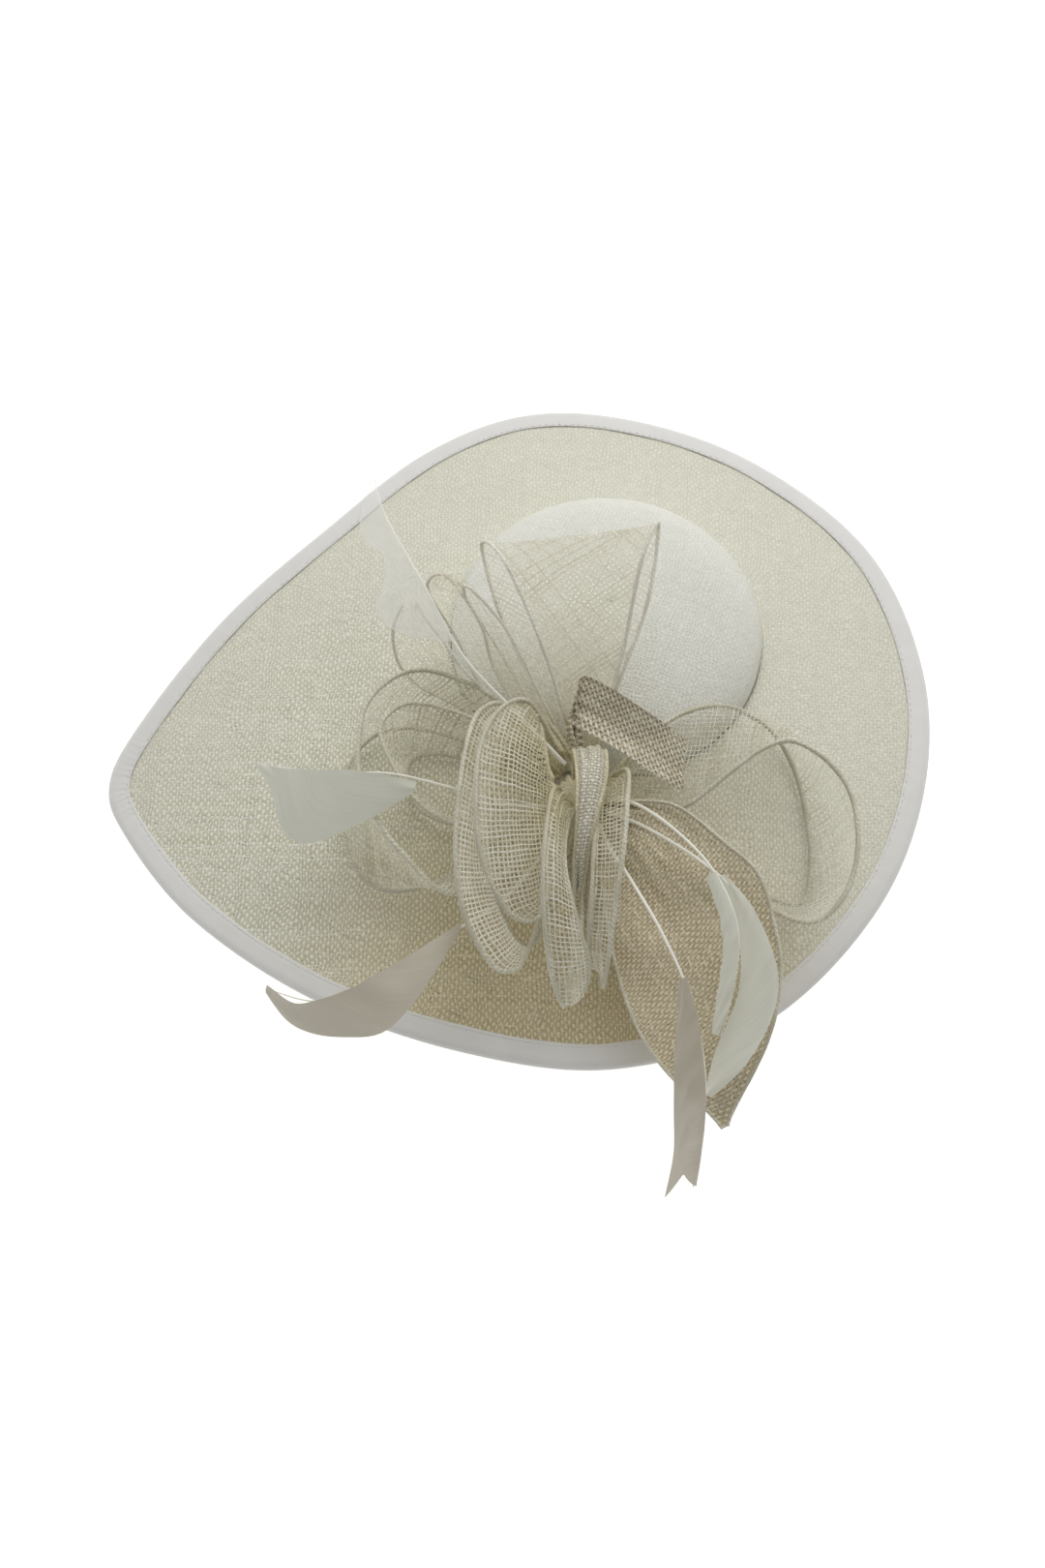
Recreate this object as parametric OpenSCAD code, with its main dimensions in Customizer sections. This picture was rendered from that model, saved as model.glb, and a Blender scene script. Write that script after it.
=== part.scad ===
// Ivory sinamay occasion hat (hatinator): teardrop saucer brim, shallow crown,
// looped trim with stripped feathers, satin headband and a sprung hair clip.
// Units are millimetres. +Z is up, -Y is the trimmed side, the brim point is towards -X.
// The origin is the middle of the headband's inner face, where it rests on the head.

/* [Crown] */
// outer radius of the crown at its foot
crown_r = 66.6; // [55:0.1:80]
// height of the crown above the brim
crown_h = 28; // [15:1:60]
// roundness of the crown's side profile, 2 is a plain ellipse
crown_round = 2.6; // [2:0.1:4]
// height of the brim's top face at the crown's foot
brim_z = 13; // [11:0.5:30]

/* [Brim] */
// fall of the brim per millimetre outwards
brim_fall = 0.12; // [0:0.01:0.4]
// extra fall, per millimetre squared
brim_droop = 0.0004; // [0:0.0001:0.002]
// thickness of one blocked sinamay layer
layer_t = 0.8; // [0.5:0.1:1.5]
// width of the satin edge binding
bind_w = 9; // [5:0.5:15]
// thickness of the binding satin
bind_t = 0.7; // [0.4:0.1:1.5]
// diameter of the millinery wire in the edge
wire_d = 1.6; // [0.8:0.1:3]

/* [Headband] */
// inner radius of the headband's arch
band_r = 68; // [60:0.5:80]
// thickness of the spring steel strip
core_t = 1; // [0.6:0.1:1.6]
// width of the spring steel strip
core_w = 7; // [4:0.5:12]
// thickness of the satin wrap
wrap_t = 0.8; // [0.4:0.1:1.5]
// how far the arch runs past the half circle at each end, degrees
arch_over = 12; // [8:1:20]
// length of each straight leg
leg_len = 40; // [20:1:60]
// inward tilt of each leg, degrees
leg_tilt = 6; // [2:1:8]

/* [Clip] */
// length of the hair clip
clip_len = 48; // [36:1:60]
// width of the hair clip
clip_w = 8; // [6:0.5:12]
// sheet thickness of the clip
clip_t = 0.7; // [0.5:0.1:1]
// distance of the clip behind the headband
clip_y = 28; // [22:1:40]
// radius of the clip's pivot pin
pin_r = 0.8; // [0.6:0.1:1.2]
// opening of the clip, degrees, 0 is closed
clip_open = 0; // [0:1:22]

/* [Trim] */
// thickness of the looped sinamay
loop_t = 0.8; // [0.5:0.1:1.5]
// thickness of a feather vane
vane_t = 0.5; // [0.3:0.1:1]
// radius of a quill at its thick end
quill_r = 0.9; // [0.5:0.1:1.5]
// how far each loop bellies out between its rims
belly = 3; // [0:0.5:8]

/* [Hidden] */
disc_top = 9.5;
disc_t = 1.1;
disc_r = 70;
disc_bot = disc_top - disc_t;
ply_gap = 0.1;
low_ply = 2 * layer_t + ply_gap;
wrap_w = core_w + 2 * wrap_t;
band_t = core_t + 2 * wrap_t;
tip_gap = 0.6;
seat = [0, 0, -band_r];
pin_x = 12;
pin_z = 4.6;
knot = [-14, -79];
segs = 5;

// plan of the brim edge, counterclockwise from the point
edge_pts = [[-214, -56], [-205, -80], [-172, -119], [-120, -154], [-60, -176], [0, -183],
            [60, -165], [108, -119], [133, -64], [137, -6], [118, 52], [70, 98],
            [16, 122], [-34, 126], [-80, 105], [-125, 63], [-168, 20], [-202, -28]];

// ---------------------------------------------------------------- helpers
function smooth4(a, b, c, d, f) =
    0.5 * (2 * b + (c - a) * f + (2 * a - 5 * b + 4 * c - d) * f * f
           + (3 * b - a - 3 * c + d) * f * f * f);
function along(p, t) =
    let (n = len(p), i = min(n - 2, floor(t)))
    smooth4(p[max(i - 1, 0)], p[i], p[i + 1], p[min(i + 2, n - 1)], t - i);
function round_at(p, t) =
    let (n = len(p), i = floor(t))
    smooth4(p[(i + n - 1) % n], p[i % n], p[(i + 1) % n], p[(i + 2) % n], t - i);

edge_n = len(edge_pts) * segs;
edge = [for (i = [0:edge_n - 1]) round_at(edge_pts, i / segs)];
function unit(v) = v / norm(v);
function inward(i) =
    let (d = edge[(i + 1) % edge_n] - edge[(i + edge_n - 1) % edge_n]) unit([-d[1], d[0]]);
function inset(i, w) = edge[i] + inward(i) * w;
function brim_top(p) = let (d = max(norm(p) - crown_r, 0)) brim_z - brim_fall * d - brim_droop * d * d;
function lift(p, z) = [p[0], p[1], brim_top(p) + z];
function ring_in(i, f) =
    let (o = inset(i, bind_w), c = unit(edge[i]) * (crown_r + 0.3)) c + (o - c) * f;
brim_rings = [0, 0.2, 0.45, 0.72, 1];

// closed band of rings: rings is a list of functions already evaluated, each edge_n long
module ring_solid(rows) {
    m = len(rows);
    pts = [for (j = [0:m - 1]) for (i = [0:edge_n - 1]) rows[j][i]];
    tris = [for (j = [0:m - 1]) for (i = [0:edge_n - 1])
            let (k = (i + 1) % edge_n, l = (j + 1) % m)
            for (t = [[j * edge_n + i, j * edge_n + k, l * edge_n + k],
                      [j * edge_n + i, l * edge_n + k, l * edge_n + i]]) t];
    polyhedron(points = pts, faces = tris);
}

function brim_row(f, z) = [for (i = [0:edge_n - 1]) lift(ring_in(i, f), z)];
function edge_row(w, z) = [for (i = [0:edge_n - 1]) lift(inset(i, w), z)];

// a thin sheet ruled between two curves, belly is how far the middle stands out
module ribbon(a, b, t, nu, nv, out) {
    m = len(a) - 1;
    mid = [for (i = [0:nu]) [for (j = [0:nv])
           let (u = i / nu * m, v = j / nv) along(a, u) * (1 - v) + along(b, u) * v]];
    nrm = [for (i = [0:nu]) [for (j = [0:nv])
           let (du = mid[min(i + 1, nu)][j] - mid[max(i - 1, 0)][j],
                dv = mid[i][min(j + 1, nv)] - mid[i][max(j - 1, 0)]) unit(cross(du, dv))]];
    bell = [for (i = [0:nu]) [for (j = [0:nv])
            mid[i][j] + nrm[i][j] * out * 4 * (j / nv) * (1 - j / nv) * sin(180 * i / nu)]];
    k = (nu + 1) * (nv + 1);
    pts = [for (s = [1, -1]) for (i = [0:nu]) for (j = [0:nv]) bell[i][j] + nrm[i][j] * s * t / 2];
    function id(s, i, j) = s * k + i * (nv + 1) + j;
    top = [for (i = [0:nu - 1]) for (j = [0:nv - 1])
           for (f = [[id(0, i, j), id(0, i, j + 1), id(0, i + 1, j + 1)],
                     [id(0, i, j), id(0, i + 1, j + 1), id(0, i + 1, j)]]) f];
    low = [for (i = [0:nu - 1]) for (j = [0:nv - 1])
           for (f = [[id(1, i, j), id(1, i + 1, j + 1), id(1, i, j + 1)],
                     [id(1, i, j), id(1, i + 1, j), id(1, i + 1, j + 1)]]) f];
    rims = [for (i = [0:nu - 1])
            for (f = [[id(0, i, 0), id(0, i + 1, 0), id(1, i + 1, 0)],
                      [id(0, i, 0), id(1, i + 1, 0), id(1, i, 0)],
                      [id(0, i, nv), id(1, i + 1, nv), id(0, i + 1, nv)],
                      [id(0, i, nv), id(1, i, nv), id(1, i + 1, nv)]]) f];
    ends = [for (j = [0:nv - 1])
            for (f = [[id(0, 0, j), id(1, 0, j + 1), id(0, 0, j + 1)],
                      [id(0, 0, j), id(1, 0, j), id(1, 0, j + 1)],
                      [id(0, nu, j), id(0, nu, j + 1), id(1, nu, j + 1)],
                      [id(0, nu, j), id(1, nu, j + 1), id(1, nu, j)]]) f];
    polyhedron(points = pts, faces = concat(top, low, rims, ends));
}

module loop(a, b, steps = 2) {
    color([0.86, 0.84, 0.74]) ribbon(a, b, loop_t, (len(a) - 1) * steps, 3, belly);
}

// a tapering quill through the points
module quill(p) {
    n = (len(p) - 1) * 2;
    q = [for (i = [0:n]) along(p, i / 2)];
    dir = [for (i = [0:n]) unit(q[min(i + 1, n)] - q[max(i - 1, 0)])];
    side = [for (i = [0:n]) unit(cross(dir[i], [0.1, 0.2, 1]))];
    pts = [for (i = [0:n]) for (k = [0:5])
           q[i] + quill_r * (1 - 0.7 * i / n) * (side[i] * cos(60 * k)
                                                 + cross(dir[i], side[i]) * sin(60 * k))];
    wall = [for (i = [0:n - 1]) for (k = [0:5]) let (m = (k + 1) % 6)
            for (f = [[i * 6 + k, i * 6 + 6 + m, i * 6 + m], [i * 6 + k, i * 6 + 6 + k, i * 6 + 6 + m]]) f];
    caps = [[0, 1, 2, 3, 4, 5], [for (k = [5:-1:0]) n * 6 + k]];
    color([0.93, 0.91, 0.83]) polyhedron(points = pts, faces = concat(wall, caps));
}

module vane(a, b) {
    color([0.95, 0.95, 0.92]) ribbon(a, b, vane_t, (len(a) - 1) * 2, 2, 0);
}

// ---------------------------------------------------------------- brim
module brim_top_layer() {
    up = [for (f = brim_rings) brim_row(f, 0)];
    down = [for (k = [len(brim_rings) - 1:-1:0]) brim_row(brim_rings[k], -layer_t)];
    color([0.88, 0.87, 0.8])
        ring_solid(concat(up, [edge_row(2.2, 0), edge_row(2.2, -layer_t)], down));
}
module brim_under_layer() {
    up = [for (f = brim_rings) brim_row(f, -layer_t - ply_gap)];
    down = [for (k = [len(brim_rings) - 1:-1:0]) brim_row(brim_rings[k], -low_ply)];
    color([0.85, 0.84, 0.76])
        ring_solid(concat(up, [edge_row(2.2, -layer_t - ply_gap), edge_row(2.2, -low_ply)], down));
}
module edge_wire() {
    color([0.8, 0.8, 0.8])
        ring_solid([for (k = [0:5]) edge_row(1.2 + wire_d / 2 * cos(60 * k),
                                             -layer_t - wire_d / 2 * sin(60 * k))]);
}
module edge_binding() {
    gap = 0.06;
    o = gap + bind_t;
    color([0.95, 0.94, 0.92])
        ring_solid([edge_row(bind_w, o), edge_row(bind_w, gap), edge_row(2.4, gap),
                    edge_row(0.9, 0.3), edge_row(0.1, -layer_t), edge_row(0.9, -low_ply - 0.3),
                    edge_row(2.4, -low_ply - gap), edge_row(bind_w, -low_ply - gap),
                    edge_row(bind_w, -low_ply - o), edge_row(1.6, -low_ply - o - 0.2),
                    edge_row(-0.5, -low_ply - 0.1), edge_row(-0.9, -layer_t),
                    edge_row(-0.5, 0.1), edge_row(1.6, o + 0.2)]);
}
module binding_stitches() {
    r = 0.2;
    z = bind_t + 0.06 + r + 0.06;
    color([0.98, 0.97, 0.94])
        ring_solid([edge_row(bind_w - 1.2, z + r), edge_row(bind_w - 1.2 + r, z),
                    edge_row(bind_w - 1.2, z - r), edge_row(bind_w - 1.2 - r, z)]);
}

// ---------------------------------------------------------------- crown
function dome(a, h) = [for (k = [0:12]) let (t = k * 7.5)
    [a * pow(abs(cos(t)), 2 / crown_round), brim_z + h * pow(abs(sin(t)), 2 / crown_round)]];
function back(p) = [for (k = [len(p) - 1:-1:0]) p[k]];
module crown_outer() {
    foot = brim_z - low_ply;
    color([0.88, 0.87, 0.8])
        rotate_extrude($fn = 96)
            polygon(concat([[crown_r, foot]], dome(crown_r, crown_h),
                           back(dome(crown_r - layer_t, crown_h - layer_t)), [[crown_r - layer_t, foot]]));
}
module crown_lining() {
    foot = brim_z - low_ply - 0.1;
    w = 7.4;
    drop = brim_fall * w + brim_droop * w * w;
    a = crown_r - layer_t;
    color([0.85, 0.84, 0.76])
        rotate_extrude($fn = 96)
            polygon(concat([[a - layer_t, foot - layer_t], [crown_r + w, foot - layer_t - drop],
                            [crown_r + w, foot - drop], [a, foot]],
                           dome(a, crown_h - layer_t),
                           back(dome(a - layer_t, crown_h - 2 * layer_t))));
}
module headsize_ribbon() {
    r = crown_r - 2 * layer_t - 1.4;
    color([0.93, 0.92, 0.88])
        translate([0, 0, disc_top + 0.1])
            difference() {
                cylinder(h = 11, r = r, $fn = 96);
                translate([0, 0, -1]) cylinder(h = 13, r = r - 0.8, $fn = 96);
            }
}
module base_disc() {
    color([0.9, 0.88, 0.8])
        translate([0, 0, disc_bot]) cylinder(h = disc_t, r = disc_r, $fn = 96);
}
module comfort_pad() {
    color([0.92, 0.9, 0.85])
        difference() {
            translate([-28, -12, 0]) cube([56, 24, disc_bot]);
            translate(seat) rotate([90, 0, 0]) cylinder(h = 60, r = band_r + band_t + 0.06, center = true, $fn = 180);
        }
}

// ---------------------------------------------------------------- headband
// arch of a flat strip between two radii, w wide
module arch(r0, r1, w) {
    low = band_r + (band_r + band_t / 2) * sin(arch_over);
    difference() {
        translate(seat) rotate([90, 0, 0]) cylinder(h = w, r = r1, center = true, $fn = 180);
        translate(seat) rotate([90, 0, 0]) cylinder(h = w + 2, r = r0, center = true, $fn = 180);
        translate([-100, -50, -low - 100]) cube([200, 100, 100]);
    }
}
// straight lower leg: t thick, w wide, from depth d0 to d1 below the end of the arch
module leg(side, t, w, d0, d1) {
    mid_r = band_r + band_t / 2;
    mirror([side < 0 ? 1 : 0, 0, 0])
        translate([mid_r * cos(arch_over), 0, -band_r - mid_r * sin(arch_over)])
            rotate([0, leg_tilt, 0]) translate([0.2 - t / 2, -w / 2, -d1]) cube([t, w, d1 - d0]);
}
module core_solid() {
    arch(band_r + wrap_t, band_r + wrap_t + core_t, core_w);
    for (s = [-1, 1]) leg(s, core_t, core_w, -1, leg_len - 1);
}
module wrap_solid() {
    arch(band_r, band_r + band_t, wrap_w);
    for (s = [-1, 1]) leg(s, band_t, wrap_w, -1, leg_len);
}
module band_core() {
    color([0.7, 0.7, 0.72]) union() {
        core_solid();
    }
}
module band_wrap() {
    color([0.94, 0.92, 0.86]) difference() {
        union() {
            wrap_solid();
        }
        union() {
            core_solid();
        }
    }
}
module band_tip(side) {
    color([0.9, 0.88, 0.82]) difference() {
        leg(side, band_t + 2 * tip_gap, wrap_w + 2 * tip_gap, leg_len - 8, leg_len + tip_gap);
        leg(side, band_t, wrap_w, leg_len - 10, leg_len);
    }
}
module band_tip_left() {
    band_tip(-1);
}
module band_tip_right() {
    band_tip(1);
}
module band_tacks() {
    color([0.98, 0.97, 0.94])
        for (s = [-1, 1]) for (k = [-3:3])
            translate(seat) rotate([0, k * 6, 0])
                translate([0, s * (wrap_w / 2 + 0.32), band_r + 0.6]) cylinder(h = 1.85, r = 0.3, $fn = 16);
}

// ---------------------------------------------------------------- hair clip
// a flat plate drawn in the clip's side view, x and z, of width w centred on the clip
module side_plate(w) {
    translate([0, clip_y, 0]) rotate([90, 0, 0])
        linear_extrude(height = w, center = true) children();
}
ear_in = clip_w / 2 - clip_t;
module clip_base() {
    tail = pin_x + 14;
    color([0.78, 0.78, 0.8]) difference() {
        union() {
            side_plate(clip_w)
                polygon([[tail - clip_len, disc_bot - clip_t], [tail, disc_bot - clip_t],
                         [tail, disc_bot], [tail - clip_len, disc_bot]]);
            side_plate(clip_w)
                polygon([[tail - clip_len, disc_bot - clip_t], [tail - clip_len, disc_bot - 1.4],
                         [tail - clip_len + 1.2, disc_bot - clip_t]]);
            for (s = [-1, 1])
                translate([0, s * (clip_w - clip_t) / 2, 0]) side_plate(clip_t)
                    polygon([[pin_x - 4, disc_bot - 0.3], [pin_x - 2, pin_z - 1.6],
                             [pin_x + 2, pin_z - 1.6], [pin_x + 4, disc_bot - 0.3]]);
        }
        translate([pin_x, clip_y, pin_z]) rotate([90, 0, 0])
            cylinder(h = 20, r = pin_r, center = true, $fn = 48);
    }
}
module clip_jaw() {
    tail = pin_x + 14;
    nose = tail - clip_len + 1.5;
    w = 2 * ear_in - 0.4;
    top = disc_bot - clip_t - 0.25;
    color([0.76, 0.76, 0.78])
        translate([pin_x, 0, pin_z]) rotate([0, -clip_open, 0]) translate([-pin_x, 0, -pin_z])
        difference() {
            union() {
                side_plate(w)
                    polygon([[nose, top], [nose, top - 1.9], [nose + 0.8, top - 1.9],
                             [nose + 3, top - 1.3], [pin_x, 1.9], [tail, 0.9], [tail, 1.6],
                             [pin_x, 2.6], [nose + 3, top - 0.6], [nose + 1.5, top]]);
                for (s = [-1, 1])
                    translate([0, s * (w - clip_t) / 2, 0]) side_plate(clip_t)
                        polygon([[pin_x - 5, 2.6], [pin_x - 1.6, pin_z + 1.6], [pin_x + 1.6, pin_z + 1.6],
                                 [pin_x + 5, 2.2], [pin_x + 4, 2], [pin_x - 4, 2.2]]);
            }
            translate([pin_x, clip_y, pin_z]) rotate([90, 0, 0])
                cylinder(h = 20, r = pin_r + 0.06, center = true, $fn = 48);
        }
}
module clip_pin() {
    color([0.7, 0.7, 0.7]) translate([pin_x, clip_y, pin_z]) rotate([90, 0, 0]) union() {
        cylinder(h = clip_w + 0.8, r = pin_r, center = true, $fn = 48);
        for (s = [-1, 1])
            translate([0, 0, s * (clip_w / 2 + 0.27)]) cylinder(h = 0.5, r = 1.3, center = true, $fn = 48);
    }
}
// a round wire of radius r along a path that lies near the clip's side plane
module wire(path, r) {
    n = len(path) - 1;
    dir = [for (i = [0:n]) unit(path[min(i + 1, n)] - path[max(i - 1, 0)])];
    side = [for (i = [0:n]) unit(cross(dir[i], [0, 1, 0]))];
    pts = [for (i = [0:n]) for (k = [0:5])
           path[i] + r * (side[i] * cos(60 * k) + cross(dir[i], side[i]) * sin(60 * k))];
    wall = [for (i = [0:n - 1]) for (k = [0:5]) let (m = (k + 1) % 6)
            for (f = [[i * 6 + k, i * 6 + 6 + m, i * 6 + m], [i * 6 + k, i * 6 + 6 + k, i * 6 + 6 + m]]) f];
    caps = [[0, 1, 2, 3, 4, 5], [for (k = [5:-1:0]) n * 6 + k]];
    polyhedron(points = pts, faces = concat(wall, caps));
}
module clip_spring() {
    r = 1.3;
    turns = 3.5;
    per = 14;
    coil = [for (i = [0:turns * per])
            let (t = 360 * i / per) [r * sin(t), 1.2 - 2.4 * i / (turns * per), r * cos(t)]];
    first = [[-8, 1.2, r + 1.5], [-4, 1.2, r + 0.75]];
    last = [[-4, -1.2, 0.2 - r], [-8, -1.2, 0.78 - r]];
    color([0.6, 0.6, 0.62]) translate([pin_x, clip_y, pin_z])
        wire(concat(first, coil, last), 0.22);
}

// ---------------------------------------------------------------- trim
trim_turn = -10.2;
trim_tilt = 7.4;
module on_knot(z) {
    translate([knot[0], knot[1] + 1, 11.6]) rotate([0, 0, trim_turn]) rotate([trim_tilt, 0, 0])
        translate([0, 0, z]) children();
}
module trim_base() {
    color([0.9, 0.88, 0.8]) on_knot(0) cylinder(h = 1.2, r = 12, $fn = 64);
}
module centre_knot() {
    color([0.85, 0.8, 0.62]) on_knot(1.2)
        rotate_extrude($fn = 48)
            polygon([[0, 0], [8, 0], [7.5, 3], [5, 6], [4.6, 8], [6, 12], [7, 15], [5, 18], [0, 19]]);
}
module knot_thread() {
    color([0.96, 0.95, 0.9]) on_knot(1.2)
        for (k = [0:4]) translate([0, 0, 6.1 + k * 0.75])
            rotate_extrude($fn = 48) translate([5.5, 0]) circle(r = 0.38, $fn = 16);
}
module fan_loop() {
    loop([[-9, -70, 28], [2, -44, 52], [13, -18, 70], [17, 8, 86], [10, -8, 84], [3, -36, 60], [-8, -68, 36]],
         [[-16, -70, 28], [-33, -40, 48], [-46, -16, 64], [-52, 6, 76], [-42, -10, 84], [-26, -40, 62],
          [-15, -68, 36]]);
}
module crest_petal() {
    loop([[-16, -68, 24], [-34, -44, 40], [-47, -27, 54], [-58, -14, 66], [-57, -15, 76], [-42, -30, 68],
          [-30, -48, 52], [-17, -67, 32]],
         [[-22, -70, 20], [-51, -39, 34], [-63, -20, 48], [-74, -6, 62], [-66, -6, 70], [-53, -22, 62],
          [-46, -38, 48], [-22, -68, 28]]);
}
module side_petal() {
    loop([[-25, -71, 20], [-55, -46, 26], [-78, -35, 33], [-86, -30, 42], [-88, -21, 54], [-84, -13, 60]],
         [[-24, -69.5, 28], [-43, -48.5, 37], [-58, -38, 48.5], [-67, -28, 56], [-74, -20, 60], [-78, -13, 62]]);
}
module left_loop() {
    loop([[-24, -71.5, 32], [-45, -48, 42], [-71, -35, 45], [-87, -38, 48], [-98, -52, 50], [-100, -72, 50],
          [-97, -89, 50], [-91, -101, 48], [-81, -114, 44], [-65, -127, 38], [-45, -118, 32], [-23, -86, 27]],
         [[-23, -74, 20], [-50, -58, 18], [-77, -46, 15], [-97, -46, 12], [-108, -58, 9], [-111, -76, 8],
          [-109, -92, 8], [-104, -105, 7], [-94, -114, 7], [-79, -115, 9], [-56, -106, 13], [-24, -84, 18]]);
}
module inner_loop() {
    loop([[-23, -76, 32], [-50, -55, 37], [-79, -46, 39], [-92, -57, 44], [-91, -69, 45], [-85, -80, 45],
          [-78, -89, 43], [-65, -98, 38], [-44, -99, 32], [-24, -83, 28]],
         [[-24, -77, 18], [-42, -68, 16], [-68, -57, 14], [-81, -58, 12], [-84, -66, 11], [-82, -73, 11],
          [-78, -80, 11], [-66, -87, 12], [-46, -89, 14], [-24, -82, 18]]);
}
module rose_outer() {
    loop([[-22, -73, 37], [-40, -54, 49], [-52, -59, 57], [-58, -82, 63], [-61, -117, 60], [-58, -139, 52],
          [-50, -152, 42], [-42, -157, 34], [-33, -145, 26], [-20, -92, 20]],
         [[-20, -73, 30], [-34, -62, 37], [-43, -70, 42], [-48, -90, 44], [-50, -113, 42], [-47, -129, 36],
          [-41, -139, 29], [-34, -143, 24], [-27, -132, 19], [-17, -92, 16]]);
}
module rose_cup() {
    loop([[-20, -69, 42], [-33, -54, 54], [-45, -62, 63], [-53, -84, 67], [-53, -112, 63], [-48, -129, 55],
          [-39, -139, 44], [-28, -133, 35], [-20, -95, 28]],
         [[-16, -71, 38], [-28, -57, 47], [-27, -70, 48], [-24, -86, 46], [-22, -100, 42], [-22, -114, 37],
          [-23, -122, 32], [-22, -118, 28], [-17.5, -94, 22]]);
}
module front_loop() {
    loop([[-16, -87, 31], [-24, -88, 47], [-28, -118, 58], [-28, -142, 52], [-25, -160, 38], [-20, -168, 26],
          [-17, -148, 20], [-15, -92, 17]],
         [[-12, -88, 30], [-18, -100, 44], [-20, -121, 48], [-15, -143, 44], [-11, -155, 35], [-13, -162, 26],
          [-13, -146, 19], [-12, -92, 16]]);
}
module side_loop() {
    loop([[-5, -80, 32], [4, -82, 52], [3, -100, 60], [1, -119, 60], [-2, -139, 52], [-4, -154, 38],
          [-6, -160, 27], [-6, -132, 20], [-6, -90, 17]],
         [[-8, -80, 30], [-4, -86, 44], [-7, -99, 48], [-9, -115, 47], [-10, -134, 42], [-11, -148, 33],
          [-11, -153, 25], [-10, -130, 18], [-9, -92, 15]]);
}
module rose_heart() {
    loop([[-16, -79, 36], [-16, -71, 46], [-15, -84, 51], [-15, -101, 49], [-16, -113, 43], [-16, -124, 31]],
         [[-9, -79, 36], [-4, -71, 47], [-4, -85, 53], [-8, -101, 52], [-11, -113, 45], [-13, -124, 31]]);
}
module heart_tab() {
    loop([[-15, -67, 41], [-14, -46, 58], [-3, -50, 60], [7, -56, 58], [18, -62, 54], [28, -67, 48]],
         [[-14, -75, 38], [-19, -60, 47], [-9, -65, 48], [3, -72, 47], [14, -79, 44], [27, -85, 38]]);
}
module right_loop() {
    loop([[-5, -84, 26], [8, -90, 29], [28, -89, 34], [47, -77, 42], [59, -69, 45], [70, -66, 46],
          [82, -74, 46], [90, -88, 46], [92, -107, 46], [89, -124, 44], [82, -135, 42], [73, -139, 38],
          [60, -132, 32], [43, -118, 28], [18, -100, 24], [-4, -88, 21]],
         [[-5, -78, 22], [7, -66, 29], [23, -53, 36], [39, -46, 36], [52, -43, 29], [65, -46, 19],
          [73, -56, 14], [78, -69, 11], [81, -85, 9], [81, -105, 7], [76, -119, 6], [62, -117, 8],
          [48, -110, 10], [34, -101, 12], [14, -92, 14], [-5, -85, 16]]);
}
module leaf() {
    loop([[-5, -86, 30], [8, -88, 36], [24, -93, 42], [41, -111, 48], [53, -124, 48], [58, -143, 44],
          [60, -160, 38], [55, -182, 30], [42, -206, 18], [40, -211, 16]],
         [[-9, -89, 24], [-8, -104, 24], [-5, -120, 26], [-3, -138, 26], [0, -154, 25], [4, -167, 23],
          [9, -179, 22], [19, -193, 20], [33, -206, 17], [38, -212, 16]]);
}
module feather1_quill() {
    quill([[-19, -74, 40], [-38, -60, 56], [-59, -42, 70], [-75, -14, 79], [-91, 21, 73], [-97, 44, 66]]);
}
module feather1_vane() {
    vane([[-97, 43, 67], [-101, 32, 67], [-102, 22, 67], [-99, 12, 68], [-91, 2, 72], [-91, -10, 70],
          [-94, -19, 66], [-85, -29, 66], [-68, -36, 71]],
         [[-98, 42, 68], [-94, 30, 72], [-91, 20, 75], [-86, 9, 77], [-82, 0, 79], [-77, -11, 80],
          [-72, -20, 79], [-67, -29, 77], [-62, -38, 74]]);
}
module feather2_quill() {
    quill([[-23, -86, 26], [-44, -90, 38], [-64, -89, 51], [-86, -88, 61], [-110, -86, 58], [-138, -79, 50]]);
}
module feather2_vane() {
    vane([[-138, -81, 50], [-133, -89, 48], [-129, -102, 45], [-121, -109, 43], [-108, -107, 46],
          [-91, -101, 52], [-78, -94, 56]],
         [[-137, -79, 52], [-130, -82, 54], [-122, -84, 57], [-112, -86, 60], [-100, -87, 62],
          [-88, -89, 62], [-76, -90, 58]]);
}
module feather3_quill() {
    quill([[-20, -95, 24], [-42, -124, 26], [-57, -138, 34], [-70, -149, 42], [-88, -163, 46],
           [-110, -171, 42], [-131, -164, 34]]);
}
module feather3_vane() {
    vane([[-131, -166, 34], [-123, -176, 33], [-113, -181, 34], [-100, -183, 36], [-87, -182, 39],
          [-77, -173, 41], [-68, -159, 41], [-61, -145, 37]],
         [[-131, -163, 36], [-120, -171, 40], [-110, -171, 44], [-99, -168, 47], [-88, -162, 48],
          [-78, -155, 46], [-68, -147, 43], [-59, -139, 38]]);
}
module feather4_quill() {
    quill([[-6, -97, 34], [-3, -112, 46], [4, -128, 54], [15, -152, 59], [24, -176, 57], [29, -204, 45],
           [25, -235, 26]]);
}
module feather4_vane() {
    vane([[20, -168, 58], [19, -182, 52], [18, -197, 46], [18, -211, 38], [18, -224, 30], [15, -238, 22]],
         [[22, -168, 61], [26, -181, 57], [28, -196, 51], [29, -209, 44], [28, -222, 36], [26, -235, 28]]);
}
module feather5_quill() {
    quill([[-3, -88, 38], [8, -96, 50], [22, -112, 60], [34, -130, 65], [41, -150, 64], [40, -168, 57],
           [35, -186, 47]]);
}
module feather5_vane() {
    vane([[31, -131, 63], [35, -146, 62], [36, -158, 59], [34, -171, 53], [32, -184, 46]],
         [[34, -130, 67], [40, -147, 67], [41, -159, 63], [39, -173, 57], [34, -186, 49]]);
}
module feather6_quill() {
    quill([[-3, -92, 34], [10, -104, 48], [30, -123, 59], [44, -139, 61], [53, -158, 56], [54, -176, 48],
           [44, -195, 40]]);
}
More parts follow.
